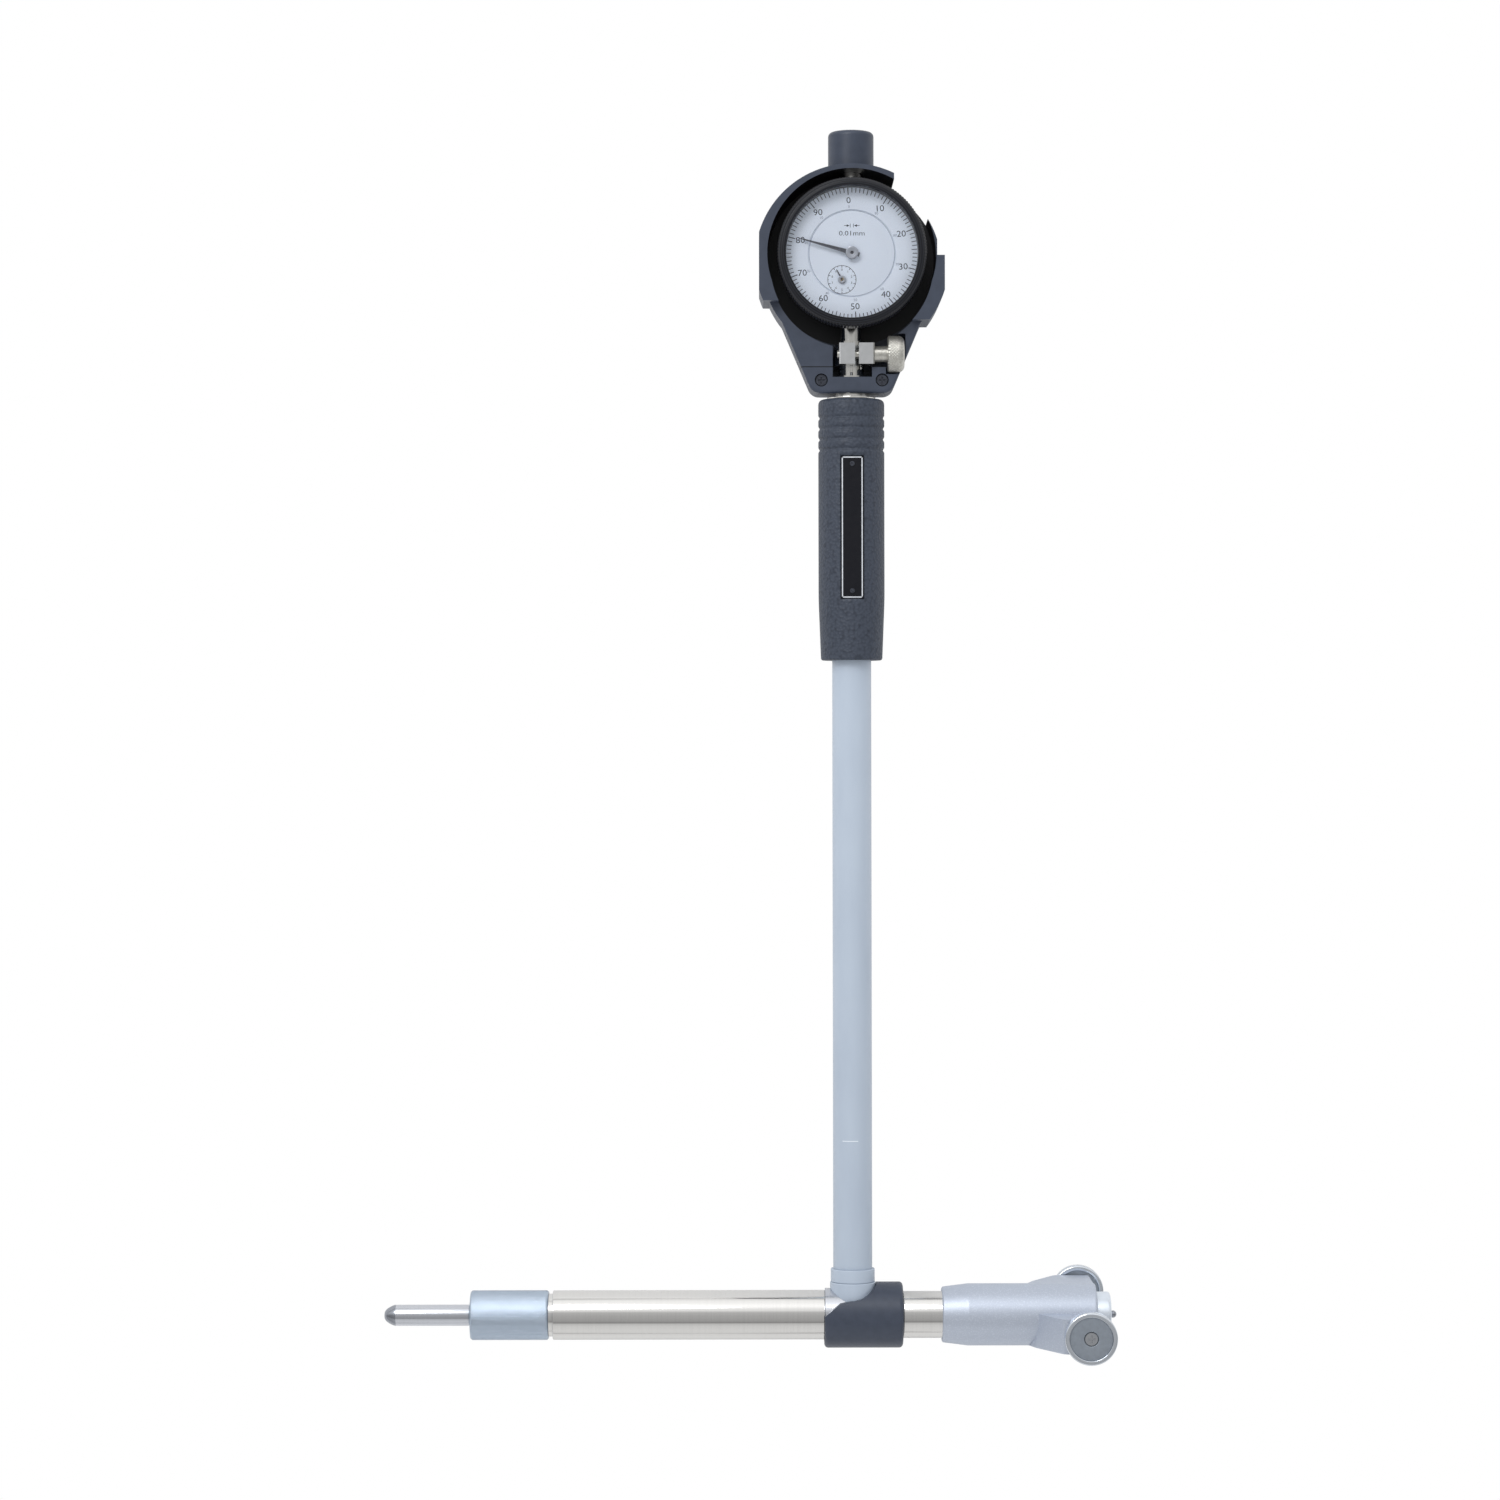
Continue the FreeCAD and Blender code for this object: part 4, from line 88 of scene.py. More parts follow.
class Look:
    """A Principled material with a few helpers for its nodes."""

    def __init__(self, name, colour, rough, metal=0.0):
        self.mat = bpy.data.materials.new(name)
        self.mat.use_nodes = True
        self.tree = self.mat.node_tree
        self.shader = self.tree.nodes["Principled BSDF"]
        self.colour = colour
        self.shader.inputs["Base Color"].default_value = colour
        self.shader.inputs["Roughness"].default_value = rough
        self.shader.inputs["Metallic"].default_value = metal
        self.place = self.tree.nodes.new("ShaderNodeTexCoord").outputs["Object"]

    def set(self, **sockets):
        for name, value in sockets.items():
            self.shader.inputs[name.replace("_", " ")].default_value = value
        return self

    def link(self, a, b):
        self.tree.links.new(a, b)

    def maths(self, kind, first, second=0.0, third=0.0):
        node = self.tree.nodes.new("ShaderNodeMath")
        node.operation = kind
        for socket, value in zip(node.inputs, (first, second, third)):
            if isinstance(value, (int, float)):
                socket.default_value = value
            else:
                self.link(value, socket)
        return node.outputs[0]

    def all_of(self, first, *more):
        """A mask that is 1 where every one of these is."""
        for other in more:
            first = self.maths("MULTIPLY", first, other)
        return first

    def noise(self, size, stretch=(1, 1, 1), detail=3.0):
        """Noise whose grains are about size millimetres across, longer where stretch is over 1."""
        mapping = self.tree.nodes.new("ShaderNodeMapping")
        mapping.inputs["Scale"].default_value = [1 / (size * MM * s) for s in stretch]
        self.link(self.place, mapping.inputs["Vector"])
        node = self.tree.nodes.new("ShaderNodeTexNoise")
        node.inputs["Scale"].default_value = 1.0
        node.inputs["Detail"].default_value = detail
        self.link(mapping.outputs[0], node.inputs["Vector"])
        return node.outputs["Fac"]

    def cells(self, size):
        """Rounded cells about size millimetres across."""
        mapping = self.tree.nodes.new("ShaderNodeMapping")
        mapping.inputs["Scale"].default_value = [1 / (size * MM)] * 3
        self.link(self.place, mapping.inputs["Vector"])
        node = self.tree.nodes.new("ShaderNodeTexVoronoi")
        node.feature = "SMOOTH_F1"
        node.inputs["Scale"].default_value = 1.0
        self.link(mapping.outputs[0], node.inputs["Vector"])
        return node.outputs["Distance"]

    def bump(self, height, depth, strength=1.0):
        """Bump whose full height is depth millimetres."""
        node = self.tree.nodes.new("ShaderNodeBump")
        node.inputs["Distance"].default_value = depth * MM
        node.inputs["Strength"].default_value = strength
        self.link(height, node.inputs["Height"])
        before = [l.from_socket for l in self.shader.inputs["Normal"].links]
        if before:
            self.link(before[0], node.inputs["Normal"])
        self.link(node.outputs[0], self.shader.inputs["Normal"])
        return self

    def tint(self, other, share, low=0.35, high=0.65):
        """Mix the colour with another one where share runs from low to high."""
        ramp = self.tree.nodes.new("ShaderNodeMapRange")
        ramp.inputs["From Min"].default_value = low
        ramp.inputs["From Max"].default_value = high
        self.link(share, ramp.inputs["Value"])
        mix = self.tree.nodes.new("ShaderNodeMix")
        mix.data_type = "RGBA"
        before = [l.from_socket for l in self.shader.inputs["Base Color"].links]
        if before:
            self.link(before[0], mix.inputs["A"])
        else:
            mix.inputs["A"].default_value = self.colour
        mix.inputs["B"].default_value = other
        self.link(ramp.outputs[0], mix.inputs["Factor"])
        self.link(mix.outputs["Result"], self.shader.inputs["Base Color"])
        return self

    def gloss(self, share, low, high):
        """Roughness that runs from low to high with share."""
        ramp = self.tree.nodes.new("ShaderNodeMapRange")
        ramp.inputs["From Min"].default_value = 0.3
        ramp.inputs["From Max"].default_value = 0.7
        ramp.inputs["To Min"].default_value = low
        ramp.inputs["To Max"].default_value = high
        self.link(share, ramp.inputs["Value"])
        self.link(ramp.outputs[0], self.shader.inputs["Roughness"])
        return self

    def axis(self, name):
        split = self.tree.nodes.new("ShaderNodeSeparateXYZ")
        self.link(self.place, split.inputs[0])
        return split.outputs[name]

    def from_dial(self):
        """Distance from the dial's axis in millimetres."""
        centre = at(0, DIAL_Y, 0)
        x = self.maths("SUBTRACT", self.axis("X"), centre.x)
        y = self.maths("SUBTRACT", self.axis("Y"), centre.y)
        square = self.maths("ADD", self.maths("MULTIPLY", x, x), self.maths("MULTIPLY", y, y))
        return self.maths("MULTIPLY", self.maths("SQRT", square), 1 / MM)


def turned_steel(name, colour, rough, along):
    """Polished or ground steel with fine turning marks round one axis."""
    stretch = {"X": (1, 60, 60), "Y": (60, 1, 60), "Z": (60, 60, 1)}[along]
    look = Look(name, colour, rough, 1.0)
    marks = look.noise(0.12, stretch, 4.0)
    look.bump(marks, 0.0004)
    look.gloss(look.noise(2.5, detail=4.0), rough * 0.9, rough * 1.15)
    darker = tuple(c * 0.93 for c in colour[:3]) + (1.0,)
    look.tint(darker, look.noise(0.35, stretch, 2.0), 0.4, 1.0)
    return look.mat


def build_looks():
    looks = {}

    paint = Look("tube_paint", rgb(176, 188, 203), 0.36).set(Coat_Weight=0.15, Coat_Roughness=0.25)
    paint.bump(paint.noise(0.25), 0.004)
    paint.tint(rgb(168, 180, 196), paint.noise(9, (1, 4, 1)), 0.3, 0.8)
    mark = paint.maths("COMPARE", paint.axis("Y"), at(0, MARK_Y, 0).y, 0.00014)
    across = paint.maths("COMPARE", paint.axis("X"), at(-1, 0, 0).x, 0.003)
    front = paint.maths("GREATER_THAN", paint.axis("Z"), at(0, 0, 0).z)
    paint.tint(rgb(224, 231, 238), paint.all_of(mark, across, front), 0, 1)
    looks["handle_paint"] = paint.mat

    grip = Look("grip_moulding", rgb(60, 67, 80), 0.5).set(Specular_IOR_Level=0.35)
    grain = grip.cells(1.0)
    grip.bump(grain, 0.3, 0.9)
    grip.bump(grip.noise(0.35), 0.05, 0.6)
    grip.tint(rgb(44, 50, 62), grain, 0.35, 0.8)
    looks["grip"] = grip.mat

    sleeve = Look("sleeve_moulding", rgb(56, 63, 77), 0.36).set(Specular_IOR_Level=0.4)
    sleeve.bump(sleeve.noise(0.22), 0.006, 0.6)
    sleeve.tint(rgb(62, 69, 84), sleeve.noise(3), 0.3, 0.8)
    looks["sleeve"] = sleeve.mat

    cover = Look("cover_moulding", rgb(56, 63, 77), 0.4).set(Specular_IOR_Level=0.35)
    cover.bump(cover.noise(0.3), 0.012, 0.6)
    cover.tint(rgb(62, 69, 84), cover.noise(4), 0.3, 0.8)
    # Painted shade: the cover's colour goes near black inside the dial's recess and below the rim, where the
    # recess lies in shade; the ledge at the upper right keeps the grey.
    inside = cover.maths("LESS_THAN", cover.from_dial(), RECESS_RADIUS)
    below = cover.maths("LESS_THAN", cover.axis("Z"), at(0, 0, RIM_Z).z)
    ledge = cover.all_of(cover.maths("GREATER_THAN", cover.axis("X"), at(LEDGE_X, 0, 0).x),
                         cover.maths("GREATER_THAN", cover.axis("Z"), at(0, 0, LEDGE_Z).z))
    dark = cover.all_of(inside, below, cover.maths("SUBTRACT", 1.0, ledge))
    cover.tint(rgb(24, 25, 29), dark, 0, 1)
    seam = cover.maths("COMPARE", cover.axis("Y"), at(0, SEAM_Y, 0).y, 0.00018)
    cover.tint(rgb(14, 15, 18), seam, 0, 1)
    looks["cover"] = cover.mat

    plate = Look("plate_face", rgb(20, 21, 27), 0.3).set(Specular_IOR_Level=0.2)
    plate.bump(plate.noise(0.4, (1, 8, 1)), 0.003)
    plate.gloss(plate.noise(2), 0.25, 0.38)
    looks["plate_black"] = plate.mat
    line = Look("plate_line", rgb(214, 218, 224), 0.35)
    line.tint(rgb(190, 195, 202), line.noise(1.2))
    looks["plate_line"] = line.mat

    looks["steel_x"] = turned_steel("polished_across", rgb(226, 225, 223), 0.1, "X")
    looks["steel_y"] = turned_steel("polished_up", rgb(222, 221, 217), 0.14, "Y")
    looks["ground_x"] = turned_steel("ground_across", rgb(208, 211, 218), 0.2, "X")
    looks["ground_y"] = turned_steel("ground_up", rgb(196, 198, 204), 0.25, "Y")
    looks["ground_z"] = turned_steel("ground_deep", rgb(190, 193, 198), 0.28, "Z")
    looks["hard_tip"] = turned_steel("hard_metal", rgb(160, 164, 172), 0.22, "X")
    looks["spring_steel"] = turned_steel("spring_wire", rgb(150, 152, 158), 0.3, "X")

    nut = Look("nut_knurl", rgb(200, 213, 229), 0.26, 0.85)
    nut.tint(rgb(168, 182, 198), nut.noise(0.6), 0.3, 0.7)
    nut.bump(nut.noise(0.15), 0.003)
    looks["nut"] = nut.mat

    bright = Look("bright_nickel", rgb(222, 224, 226), 0.18, 1.0)
    bright.bump(bright.noise(0.2, (6, 1, 6)), 0.002)
    bright.gloss(bright.noise(1.5), 0.14, 0.26)
    looks["bright"] = bright.mat
    knob = Look("knob_nickel", rgb(204, 203, 197), 0.34, 0.8)
    knob.bump(knob.noise(0.2), 0.003)
    knob.tint(rgb(170, 168, 160), knob.noise(0.8), 0.4, 0.8)
    looks["knob"] = knob.mat

    cast = Look("guide_casting", rgb(184, 192, 206), 0.42, 0.55)
    cast.bump(cast.noise(0.55, detail=5.0), 0.05, 0.55)
    cast.bump(cast.cells(0.4), 0.02, 0.4)
    cast.tint(rgb(206, 213, 226), cast.noise(0.5), 0.5, 0.8)
    looks["guide_cast"] = cast.mat

    looks["roller_rim"] = turned_steel("roller_chrome", rgb(222, 228, 236), 0.12, "Z")
    disc = Look("roller_satin", rgb(150, 158, 168), 0.42, 0.75)
    disc.bump(disc.noise(0.25), 0.006, 0.5)
    disc.tint(rgb(160, 169, 180), disc.noise(1.5), 0.3, 0.8)
    looks["roller_disc"] = disc.mat
    cap = Look("cap_satin", rgb(226, 234, 244), 0.28, 0.7)
    cap.bump(cap.noise(0.3, (1, 8, 8)), 0.004)
    looks["cap"] = cap.mat

    bezel = Look("bezel_black", rgb(18, 19, 23), 0.28).set(Specular_IOR_Level=0.25)
    rings = bezel.maths("SINE", bezel.maths("MULTIPLY", bezel.from_dial(), 8.0))
    bezel.bump(rings, 0.03, 0.6)
    bezel.tint(rgb(40, 43, 52), rings, 0.1, 1.2)
    looks["bezel_black"] = bezel.mat
    case = Look("case_black", rgb(40, 42, 48), 0.4)
    case.bump(case.noise(0.4), 0.01, 0.5)
    case.tint(rgb(52, 55, 63), case.noise(2.5))
    looks["case_metal"] = case.mat

    face = Look("dial_white", rgb(238, 245, 254), 0.5)
    face.tint(rgb(232, 240, 252), face.noise(0.6), 0.3, 0.8)
    face.bump(face.noise(0.2), 0.001)
    looks["dial_white"] = face.mat
    ink = Look("dial_print", rgb(44, 48, 60), 0.6).set(Specular_IOR_Level=0.2)
    ink.tint(rgb(60, 65, 78), ink.noise(0.5))
    looks["print"] = ink.mat
    faint = Look("dial_print_faint", rgb(146, 154, 172), 0.6)
    faint.tint(rgb(132, 142, 162), faint.noise(0.5))
    looks["faint"] = faint.mat
    hand = Look("hand_dark", rgb(64, 66, 74), 0.35)
    hand.tint(rgb(84, 87, 96), hand.noise(0.7))
    looks["pointer_dark"] = hand.mat
    looks["hub"] = turned_steel("hub_silver", rgb(190, 194, 202), 0.3, "Z")
    looks["bushes"] = turned_steel("brass_turned", rgb(206, 172, 104), 0.26, "Z")
    screw = Look("screw_black", rgb(58, 60, 68), 0.3, 0.8)
    screw.tint(rgb(84, 88, 98), screw.noise(0.5))
    looks["dark_screw"] = screw.mat
    looks["crystal"] = glass()
    return looks


def glass():
    """Clear glass that light passes straight through, with a faint reflection."""
    mat = bpy.data.materials.new("crystal_clear")
    mat.use_nodes = True
    tree = mat.node_tree
    tree.nodes.clear()
    out = tree.nodes.new("ShaderNodeOutputMaterial")
    mix = tree.nodes.new("ShaderNodeMixShader")
    clear = tree.nodes.new("ShaderNodeBsdfTransparent")
    clear.inputs[0].default_value = (0.985, 0.99, 1.0, 1.0)
    shine = tree.nodes.new("ShaderNodeBsdfGlossy")
    shine.inputs["Roughness"].default_value = 0.03
    fresnel = tree.nodes.new("ShaderNodeFresnel")
    fresnel.inputs["IOR"].default_value = 1.4
    tree.links.new(fresnel.outputs[0], mix.inputs[0])
    tree.links.new(clear.outputs[0], mix.inputs[1])
    tree.links.new(shine.outputs[0], mix.inputs[2])
    tree.links.new(mix.outputs[0], out.inputs[0])
    return mat


LOOKS = build_looks()


# ---------------------------------------------------------------------------
# Mesh helpers
# ---------------------------------------------------------------------------
def piece(name, verts, faces, body, look, slot, stands_for=(), sharp=32):
    """A mesh on a body, in place of the nodes that it stands for."""
    mesh = bpy.data.meshes.new(name)
    mesh.from_pydata([at(*v) for v in verts], [], faces)
    build = bmesh.new()
    build.from_mesh(mesh)
    bmesh.ops.remove_doubles(build, verts=build.verts, dist=1e-7)
    bmesh.ops.dissolve_degenerate(build, edges=build.edges, dist=1e-8)
    bmesh.ops.recalc_face_normals(build, faces=build.faces)
    build.to_mesh(mesh)
    build.free()
    mesh.polygons.foreach_set("use_smooth", [True] * len(mesh.polygons))
    mesh.set_sharp_from_angle(angle=math.radians(sharp))
    mesh.materials.append(LOOKS[look])
    obj = bpy.data.objects.new(name, mesh)
    bpy.context.scene.collection.objects.link(obj)
    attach(obj, body)
    if stands_for:
        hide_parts(*stands_for)
    return obj


def rounded(points, radius, steps=4):
    """A closed outline with its corners rounded. radius is one number or one per corner."""
    count = len(points)
    radii = radius if isinstance(radius, (list, tuple)) else [radius] * count
    out = []
    for i, here in enumerate(points):
        before, after = points[i - 1], points[(i + 1) % count]
        back = (before[0] - here[0], before[1] - here[1])
        ahead = (after[0] - here[0], after[1] - here[1])
        long_back, long_ahead = math.hypot(*back), math.hypot(*ahead)
        if radii[i] == 0 or here[0] == 0 or min(long_back, long_ahead) < 1e-6:
            out.append(here)
            continue
        reach = min(radii[i], 0.45 * long_back, 0.45 * long_ahead)
        a = (here[0] + back[0] / long_back * reach, here[1] + back[1] / long_back * reach)
        b = (here[0] + ahead[0] / long_ahead * reach, here[1] + ahead[1] / long_ahead * reach)
        for k in range(steps + 1):
            t = k / steps
            out.append(tuple((1 - t) ** 2 * a[j] + 2 * t * (1 - t) * here[j] + t * t * b[j] for j in (0, 1)))
    return out


def ring(inner, outer, low, high):
    """The section of a plain tube, as (radius, distance)."""
    return [(inner, low), (outer, low), (outer, high), (inner, high)]


ORIGIN = (0, 0, 0)
DIAL = (0, DIAL_Y, 0)
AXES = {
    "+X": ((1, 0, 0), (0, 1, 0), (0, 0, 1)),
    "-X": ((-1, 0, 0), (0, 1, 0), (0, 0, 1)),
    "+Y": ((0, 1, 0), (1, 0, 0), (0, 0, 1)),
    "+Z": ((0, 0, 1), (1, 0, 0), (0, 1, 0)),
    "-Z": ((0, 0, -1), (1, 0, 0), (0, 1, 0)),
}


def spin(profile, axis, start, segments=128, wave=None):
    """Vertices and faces of a closed profile of (radius, distance) turned round an axis.

    wave(angle, radius, distance) gives the radius at an angle, for teeth and knurls.
    """
    along, side, up = (Vector(v) for v in AXES[axis])
    start = Vector(start)
    verts, faces = [], []
    count = len(profile)
    for i in range(segments):
        angle = 2 * math.pi * i / segments
        out = side * math.cos(angle) + up * math.sin(angle)
        for radius, distance in profile:
            if wave is not None:
                radius = wave(angle, radius, distance)
            verts.append(start + along * distance + out * radius)
    for i in range(segments):
        j = (i + 1) % segments
        for k in range(count):
            m = (k + 1) % count
            faces.append((i * count + k, j * count + k, j * count + m, i * count + m))
    return verts, faces


def turned(name, profile, axis, start, body, look, slot, stands_for=(), segments=128, wave=None, sharp=32):
    """A piece turned from a profile."""
    verts, faces = spin(profile, axis, start, segments, wave)
    return piece(name, verts, faces, body, look, slot, stands_for, sharp)


def box_mesh(low, high):
    xs, ys, zs = zip(low, high)
    verts = [(x, y, z) for x in xs for y in ys for z in zs]
    faces = [(0, 1, 3, 2), (4, 6, 7, 5), (0, 4, 5, 1), (2, 3, 7, 6), (0, 2, 6, 4), (1, 5, 7, 3)]
    return verts, faces


def merged(parts):
    verts, faces = [], []
    for part_verts, part_faces in parts:
        shift = len(verts)
        verts += [tuple(v) for v in part_verts]
        faces += [tuple(i + shift for i in f) for f in part_faces]
    return verts, faces


# ---------------------------------------------------------------------------
# Handle
# ---------------------------------------------------------------------------
def make_handle():
    turned("tube", rounded(ring(6, 7.5, 12.8, 347), 0.2, 2), "+Y", ORIGIN,
           "frame", "handle_paint", "handle_paint", ["main_tube"])
    turned("collar", rounded(ring(7.55, 8.45, 12.85, 17.9), [0, 0.8, 0.8, 0.1], 6), "+Y", ORIGIN,
           "frame", "handle_paint", "handle_paint", ["tube_collar"])

    top, low, radius, bore = 352.1, 251.8, 12.7, 7.55
    first_groove, groove_pitch, groove_half, groove_depth = 7.2, 4.1, 1.15, 0.5
    side = [(11.8, low), (radius, low + 23.5)]
    for i in reversed(range(4)):
        centre = top - first_groove - groove_pitch * i
        for step in range(-6, 7):
            t = step / 6
            dip = groove_depth * (0.5 + 0.5 * math.cos(math.pi * t))
            side.append((radius - dip, centre + groove_half * t))
    body = [(bore, low)] + side + [(radius, top), (bore, top)]
    radii = [0, 1.0, 3.0] + [0] * (len(side) - 2) + [2.2, 0.2]
    grip = turned("grip_moulded", rounded(body, radii, 6), "+Y", ORIGIN, "frame", "grip", "moulded_grey",
                  ["grip"], segments=160, sharp=40)
    cut = piece("seat_cutter", *box_mesh((-4.42, 275.1, 11.6), (4.42, 329.8, 14)), "frame", "plate_black",
                "moulded_grey")
    seat = grip.modifiers.new("seat", "BOOLEAN")
    seat.object = cut
    seat.solver = "EXACT"
    bpy.context.view_layer.update()
    cut_grip = bpy.data.meshes.new_from_object(grip.evaluated_get(bpy.context.evaluated_depsgraph_get()))
    grip.modifiers.clear()
    grip.data = cut_grip
    bpy.data.objects.remove(cut)

    front = 12.42
    wide, low_y, high_y, line, inset = 4.3, 275.2, 329.7, 0.42, 0.32
    strips = [((-wide + inset, low_y + inset), (wide - inset, low_y + inset + line)),
              ((-wide + inset, high_y - inset - line), (wide - inset, high_y - inset)),
              ((-wide + inset, low_y + inset), (-wide + inset + line, high_y - inset)),
              ((wide - inset - line, low_y + inset), (wide - inset, high_y - inset))]
    verts, faces = merged([box_mesh((a[0], a[1], front - 0.02), (b[0], b[1], front)) for a, b in strips])
    piece("plate_border", verts, faces, "frame", "plate_line", "plate_black")

    turned("washer", rounded(ring(6.15, 9.3, top, 353.0), [0, 0.1, 0.35, 0.1]), "+Y", ORIGIN,
           "frame", "steel_y", "polished_steel", ["grip_washer"])


# ---------------------------------------------------------------------------
# Measuring head
# ---------------------------------------------------------------------------
def diamond(angle, distance, radius, pitch, depth):
    """How far a diamond knurl stands below its crest."""
    turns = round(2 * math.pi * radius / pitch)
    a = angle / (2 * math.pi) * turns
    b = distance / pitch
    first = abs(((a + b) % 1) * 2 - 1)
    second = abs(((a - b) % 1) * 2 - 1)
    return depth * max(first, second)


def knurl_rows(low, high, step):
    """Distances close enough together for a knurl to show."""
    count = max(2, round((high - low) / step))
    return [low + (high - low) * i / count for i in range(count + 1)]


def make_head():
    turned("anvil_sleeve_tube", rounded(ring(7.45, 9.45, 10.7, 115.4), [0, 0.5, 0.5, 0.1], 5), "-X", ORIGIN,
           "frame", "steel_x", "polished_steel", ["anvil_tube"])
    turned("head_sleeve_tube", rounded(ring(6.5, 8.95, 9.5, 93.3), 0.1, 2), "+X", ORIGIN,
           "frame", "steel_x", "polished_steel", ["head_tube"])

    nut_radius, nut_low, nut_high, bevel = 9.55, 117.0, 147.0, 0.7
    rows = [(8.25, nut_low), (nut_radius - bevel, nut_low)]
    rows += [(nut_radius, d) for d in knurl_rows(nut_low + bevel, nut_high - bevel, 0.2)]
    rows += [(nut_radius - bevel, nut_high), (3.75, nut_high), (3.75, 135.5), (7.1, 135.5), (7.1, nut_low)]

    def nut_wave(angle, radius, distance):
        if radius < nut_radius - 0.05:
            return radius
        return nut_radius - diamond(angle, distance, nut_radius, 1.2, 0.34)

    turned("knurled_nut", rows, "-X", ORIGIN, "lock_nut", "nut", "knurled_steel", ["lock_nut"],
           segments=300, wave=nut_wave, sharp=60)

    bar_profile = [(0, 86), (3.5, 86), (3.5, 147.5), (4.05, 147.5), (4.05, 175.9), (0, 175.9)]
    turned("anvil_bar", rounded(bar_profile, 0.12, 3), "-X", ORIGIN, "frame", "ground_x", "steel",
           ["anvil_rod"])
    nose = [(0, 175.9), (4.05, 175.9), (3.95, 176.5), (3.62, 177.4), (3.15, 178.3), (2.62, 179.1),
            (2.05, 179.75), (1.35, 180.15), (0.6, 180.28), (0, 180.3)]
    turned("anvil_nose", nose, "-X", ORIGIN, "frame", "hard_tip", "hard_tip", ["anvil_tip"], sharp=50)

    cap = [(3.1, 93.5), (8.6, 93.5), (8.6, 99), (1.6, 99), (1.6, 95.5), (3.1, 95.5)]
    turned("cap_flange", rounded(cap, [0, 0.3, 1.5, 0.3, 0, 0], 6), "+X", ORIGIN, "frame", "cap", "steel",
           ["end_cap"])
    ball, ball_at = 1.4, 100.1
    arc = [(ball * math.sin(t), ball_at - ball * math.cos(t)) for t in
           [math.radians(a) for a in range(46, 181, 9)]]
    turned("contact_ball", [(0, 95.1), (1, 95.1)] + arc[:-1] + [(0, ball_at + ball)], "+X", ORIGIN, "plunger",
           "hard_tip", "hard_tip", ["contact_point"], sharp=50)

    for name, axis, sign, body in (("front", "+Z", 1, "front_roller"), ("rear", "-Z", -1, "rear_roller")):
        centre = (89.1, -4.85 * sign, 0)
        turned(name + "_rim", rounded(ring(8.2, 10, 27.5, 32.5), [0.2, 0.7, 0.9, 0.35], 6), axis, centre,
               body, "roller_rim", "roller_rim", [name + "_roller_rim"])
        disc = [(1.66, 28.2), (8.15, 28.2), (8.15, 31.8), (2.75, 31.8), (2.75, 30.4), (1.66, 30.4)]
        turned(name + "_disc", rounded(disc, [0, 0, 0.1, 0.25, 0, 0], 4), axis, centre,
               body, "roller_disc", "roller_disc", [name + "_roller_disc"])


# ---------------------------------------------------------------------------
# Stem and clamp
# ---------------------------------------------------------------------------
def make_clamp():
    rows = [(0, -5.5), (1.6, -5.5), (1.6, 8.75), (3.1, 8.75), (3.1, 13.75), (6.6, 13.75)]
    radius_out, end, dome = 7.1, 20.15, 2.4
    rows += [(radius_out, d) for d in knurl_rows(14.2, end - dome, 0.2)]
    for k in range(1, 9):
        t = k / 8 * math.pi / 2
        rows.append((radius_out - dome * (1 - math.cos(t)), end - dome + dome * math.sin(t)))
    rows.append((0, end))

    def wave(angle, radius, distance):
        if radius < 5.5 or distance < 14.1:
            return radius
        fade = min(1.0, max(0.0, (radius - 5.2) / 1.9))
        return radius - diamond(angle, distance, radius_out, 1.15, 0.36) * fade

    turned("clamp_knob", rows, "+X", (0, 368.95, 7.6), "clamp_screw", "knob", "knurled_steel",
           ["clamp_screw"], segments=240, wave=wave, sharp=60)


# ---------------------------------------------------------------------------
# Dial
# ---------------------------------------------------------------------------
def glyph(text, height):
    """Flat vertices and faces of a word whose capitals are height millimetres tall."""
    curve = bpy.data.curves.new("word", "FONT")
    curve.body = text
    curve.size = height / 0.7
    curve.align_x = "CENTER"
    curve.resolution_u = 3
    obj = bpy.data.objects.new("word", curve)
    mesh = bpy.data.meshes.new_from_object(obj)
    verts = [tuple(v.co) for v in mesh.vertices]
    faces = [tuple(p.vertices) for p in mesh.polygons]
    bpy.data.objects.remove(obj)
    bpy.data.curves.remove(curve)
    bpy.data.meshes.remove(mesh)
    low = min(v[1] for v in verts)
    high = max(v[1] for v in verts)
    left = min(v[0] for v in verts)
    right = max(v[0] for v in verts)
    return [(v[0] - (left + right) / 2, v[1] - (low + high) / 2) for v in verts], faces


def word(text, height, x, y, z, turn=0.0, wide=1.0):
    """The word centred on x, y from the dial's centre, turned by that many degrees."""
    flat, faces = glyph(text, height)
    c, s = math.cos(math.radians(turn)), math.sin(math.radians(turn))
    verts = [(x + wide * u * c - v * s, DIAL_Y + y + wide * u * s + v * c, z) for u, v in flat]
    return verts, faces


def bar(x, y, angle, near, far, wide, z):
    """A flat radial mark between two radii from x, y, measured from the dial's centre."""
    c, s = math.cos(math.radians(angle)), math.sin(math.radians(angle))
    corners = [(near, -wide / 2), (far, -wide / 2), (far, wide / 2), (near, wide / 2)]
    return [(x + u * c - v * s, DIAL_Y + y + u * s + v * c, z) for u, v in corners], [(0, 1, 2, 3)]


def flat_ring(x, y, radius, wide, z, segments=96):
    """A flat printed circle round x, y, measured from the dial's centre."""
    verts = []
    for i in range(segments):
        c, s = math.cos(2 * math.pi * i / segments), math.sin(2 * math.pi * i / segments)
        for r in (radius - wide / 2, radius + wide / 2):
            verts.append((x + r * c, DIAL_Y + y + r * s, z))
    count = 2 * segments
    faces = [(i, i + 1, (i + 3) % count, (i + 2) % count) for i in range(0, count, 2)]
    return verts, faces


